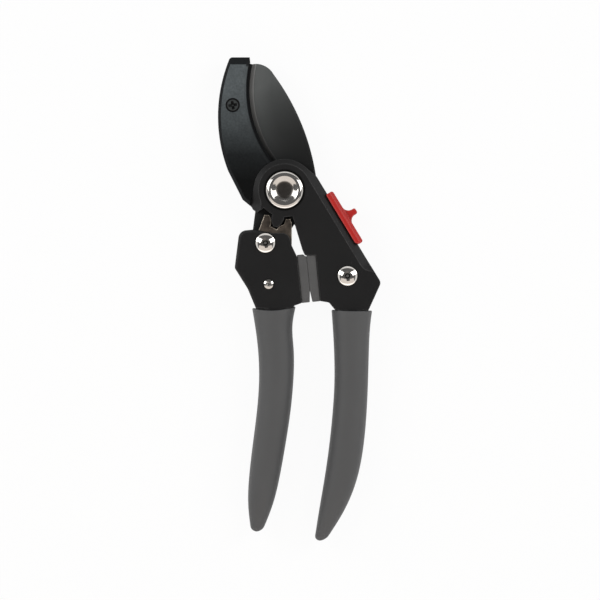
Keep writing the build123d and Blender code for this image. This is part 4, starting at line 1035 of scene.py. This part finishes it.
class SHEARS_OT_screws(bpy.types.Operator):
    """Make the cross-head screws and the pin of the gear plate."""

    bl_idname = "shears.screws"
    bl_label = "Make the cross-head screws"

    def execute(self, context):
        sizes = context.scene.shears_fasteners
        plating = bright_plating(context.scene.shears_finishes, "screw_plating")
        low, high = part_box("anvil_screw")
        oxide = black_oxide((low + high) / 2, sizes.anvil_radius)
        tree = cross_head_tree()
        pan = Head(sizes.head_radius, sizes.head_height, crown=0.5, foot=1.0, slot=1.0)
        pin = Head(sizes.pin_radius, sizes.pin_height, crown=0.4, foot=1.0, slot=0.5)
        countersunk = Head(sizes.anvil_radius, sizes.anvil_height, crown=0.2, foot=0.5, slot=0.8)
        for node, body, slot, finish, head, turn in (
            ("jaw_screw", "right_handle", "bright_screw", plating, pan, 8),
            ("handle_screw", "left_handle", "bright_screw", plating, pan, 14),
            ("gear_plate_pin", "left_handle", "bright_screw", plating, pin, 30),
            ("anvil_screw", "right_handle", "dark_screw", oxide, countersunk, 10),
        ):
            low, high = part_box(node)
            middle = (low + high) / 2
            mesh = grown_mesh(node + "_turned", tree, {
                "Head Radius": head.radius,
                "Head Height": head.height,
                "Crown": head.crown * head.height,
                "Foot": head.foot,
                "Slot Span": sizes.slot_span * head.slot,
                "Slot Width": sizes.slot_width * head.slot,
                "Slot Depth": min(sizes.slot_depth * head.slot, DEEPEST_SLOT * head.height),
                "Shank Radius": SHANK_SHARE * head.radius,
                "Shank Length": high.z - low.z - head.height,
                "Turn": radians(turn),
                "Seat": (middle.x, middle.y, high.z - head.height),
                "Finish": finish,
            })
            new_piece(node + "_turned", mesh, finish, body, slot, node)
        return {"FINISHED"}


class SHEARS_OT_pivot(bpy.types.Operator):
    """Turn the pivot's bolt with its dished head."""

    bl_idname = "shears.pivot"
    bl_label = "Make the pivot bolt"

    def execute(self, context):
        low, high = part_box("pivot_bolt")
        profile = [(radius * MM, high.z - depth * MM) for radius, depth in PIVOT_HEAD]
        seat = profile[-1][1]
        shank = PIVOT_SHANK_RADIUS * MM
        profile += [(shank, seat), (shank, low.z), (0, low.z)]
        mesh = turned_mesh("pivot_bolt_turned", profile, PIVOT_STEPS)
        colours = context.scene.shears_finishes
        finish = bright_plating(colours, "pivot_plating", dark_floor=PIVOT_FLOOR_RADIUS * MM)
        new_piece("pivot_bolt_turned", mesh, finish, "right_handle", "bright_screw", "pivot_bolt")
        return {"FINISHED"}


class SHEARS_OT_stage(bpy.types.Operator):
    """Set the floor, the lamps, the world and the camera."""

    bl_idname = "shears.stage"
    bl_label = "Set the stage"

    def set_floor(self, scene, colour):
        """Pale floor with an upturned rim, white to the camera and in mirrors, that keeps the shadow."""
        paint = Paint("studio_floor")
        paper = paint.node("BsdfDiffuse", None, {"Color": (*colour, 1.0)})
        glow = paint.node("Emission", None, {"Color": (*WHITE, 1.0), "Strength": 1.0})
        seen = paint.node("LightPath", None, None, out="Is Camera Ray")
        rays = seen.socket.node.outputs
        for kind in ("Is Glossy Ray", "Is Transmission Ray"):
            seen = seen.maths("MAXIMUM", seen, Wire(paint, rays[kind]))
        paint.surface(paint.node("MixShader", None, {0: seen * FLOOR_GLOW, 1: paper, 2: glow}))
        work = bmesh.new()
        bmesh.ops.create_grid(work, x_segments=1, y_segments=1, size=FLOOR_HALF_WIDTH)
        raise_new(work, bmesh.ops.extrude_edge_only(work, edges=work.edges[:]), FLOOR_RIM_HEIGHT)
        mesh = plain_mesh("studio_floor", work)
        mesh.transform(Matrix.Translation((0, 0, CAD_BOX[0].z - FLOOR_GAP)))
        mesh.materials.append(paint.material)
        floor = bpy.data.objects.new("studio_floor", mesh)
        scene.collection.objects.link(floor)

    def set_room(self, scene):
        """Even grey light from all round."""
        world = bpy.data.worlds.new("studio")
        world.use_nodes = True
        room = world.node_tree.nodes["Background"]
        room.inputs["Color"].default_value = (*ROOM_GREY, 1.0)
        room.inputs["Strength"].default_value = 1.0
        scene.world = world

    def set_lamp(self, scene, name, watts, size, place, aim, colour=WHITE):
        """Rectangular lamp turned toward what it lights."""
        data = bpy.data.lights.new(name, "AREA")
        data.energy = watts
        data.color = colour
        data.shape = "RECTANGLE"
        data.size, data.size_y = size
        lamp = bpy.data.objects.new(name, data)
        scene.collection.objects.link(lamp)
        lamp.location = place
        lamp.rotation_euler = (aim - place).to_track_quat("-Z", "Y").to_euler()

    def set_camera(self, scene, sizes, middle):
        """Camera straight above the middle of the image."""
        data = bpy.data.cameras.new("camera")
        data.lens = sizes.lens
        data.sensor_width = SENSOR_WIDTH
        data.clip_start, data.clip_end = NEAR_CLIP, FAR_CLIP
        camera = bpy.data.objects.new("camera", data)
        camera.location = middle + Vector((0, 0, sizes.field * sizes.lens / SENSOR_WIDTH))
        scene.collection.objects.link(camera)
        scene.camera = camera

    def execute(self, context):
        scene = context.scene
        sizes = scene.shears_stage
        scene.view_settings.view_transform = "Standard"
        self.set_floor(scene, sizes.floor)
        self.set_room(scene)
        middle = Vector((sizes.centre_x, sizes.centre_y, scene.shears_grips.middle))
        for name, side in (("left_softbox", -1), ("right_softbox", 1)):
            x, y, z = SOFTBOX_PLACE
            self.set_lamp(scene, name, sizes.softbox, SOFTBOX_SIZE, middle + Vector((side * x, y, z)), middle)
        self.set_lamp(scene, "fill", sizes.fill, FILL_SIZE, middle + Vector(FILL_PLACE), middle, WARM_WHITE)
        self.set_camera(scene, sizes, middle)
        return {"FINISHED"}


OPERATORS = (
    SHEARS_OT_castings,
    SHEARS_OT_blade,
    SHEARS_OT_grips,
    SHEARS_OT_bumpers,
    SHEARS_OT_lock,
    SHEARS_OT_screws,
    SHEARS_OT_pivot,
    SHEARS_OT_stage,
)
GROUPS = {
    "shears_grips": ShearsGripSizes,
    "shears_bumpers": ShearsBumperSizes,
    "shears_fasteners": ShearsFastenerSizes,
    "shears_finishes": ShearsFinishes,
    "shears_stage": ShearsStage,
}


class SHEARS_PT_panel(bpy.types.Panel):
    """The steps of the shears, in the order in which they run."""

    bl_idname = "SHEARS_PT_panel"
    bl_label = "Pruning Shears"
    bl_space_type = "VIEW_3D"
    bl_region_type = "UI"
    bl_category = "Shears"

    def draw(self, context):
        for operator in OPERATORS:
            self.layout.operator(operator.bl_idname)
        for group in GROUPS:
            values = getattr(context.scene, group)
            for name in values.bl_rna.properties.keys():
                if name not in ("rna_type", "name"):
                    self.layout.prop(values, name)


def register():
    for group in GROUPS.values():
        bpy.utils.register_class(group)
    for name, group in GROUPS.items():
        setattr(bpy.types.Scene, name, PointerProperty(type=group))
    for operator in OPERATORS:
        bpy.utils.register_class(operator)
    bpy.utils.register_class(SHEARS_PT_panel)


def unregister():
    bpy.utils.unregister_class(SHEARS_PT_panel)
    for operator in reversed(OPERATORS):
        bpy.utils.unregister_class(operator)
    for name, group in GROUPS.items():
        delattr(bpy.types.Scene, name)
        bpy.utils.unregister_class(group)


def main():
    register()
    for operator in OPERATORS:
        getattr(bpy.ops.shears, operator.bl_idname.split(".")[1])()


if __name__ == "__main__":
    main()
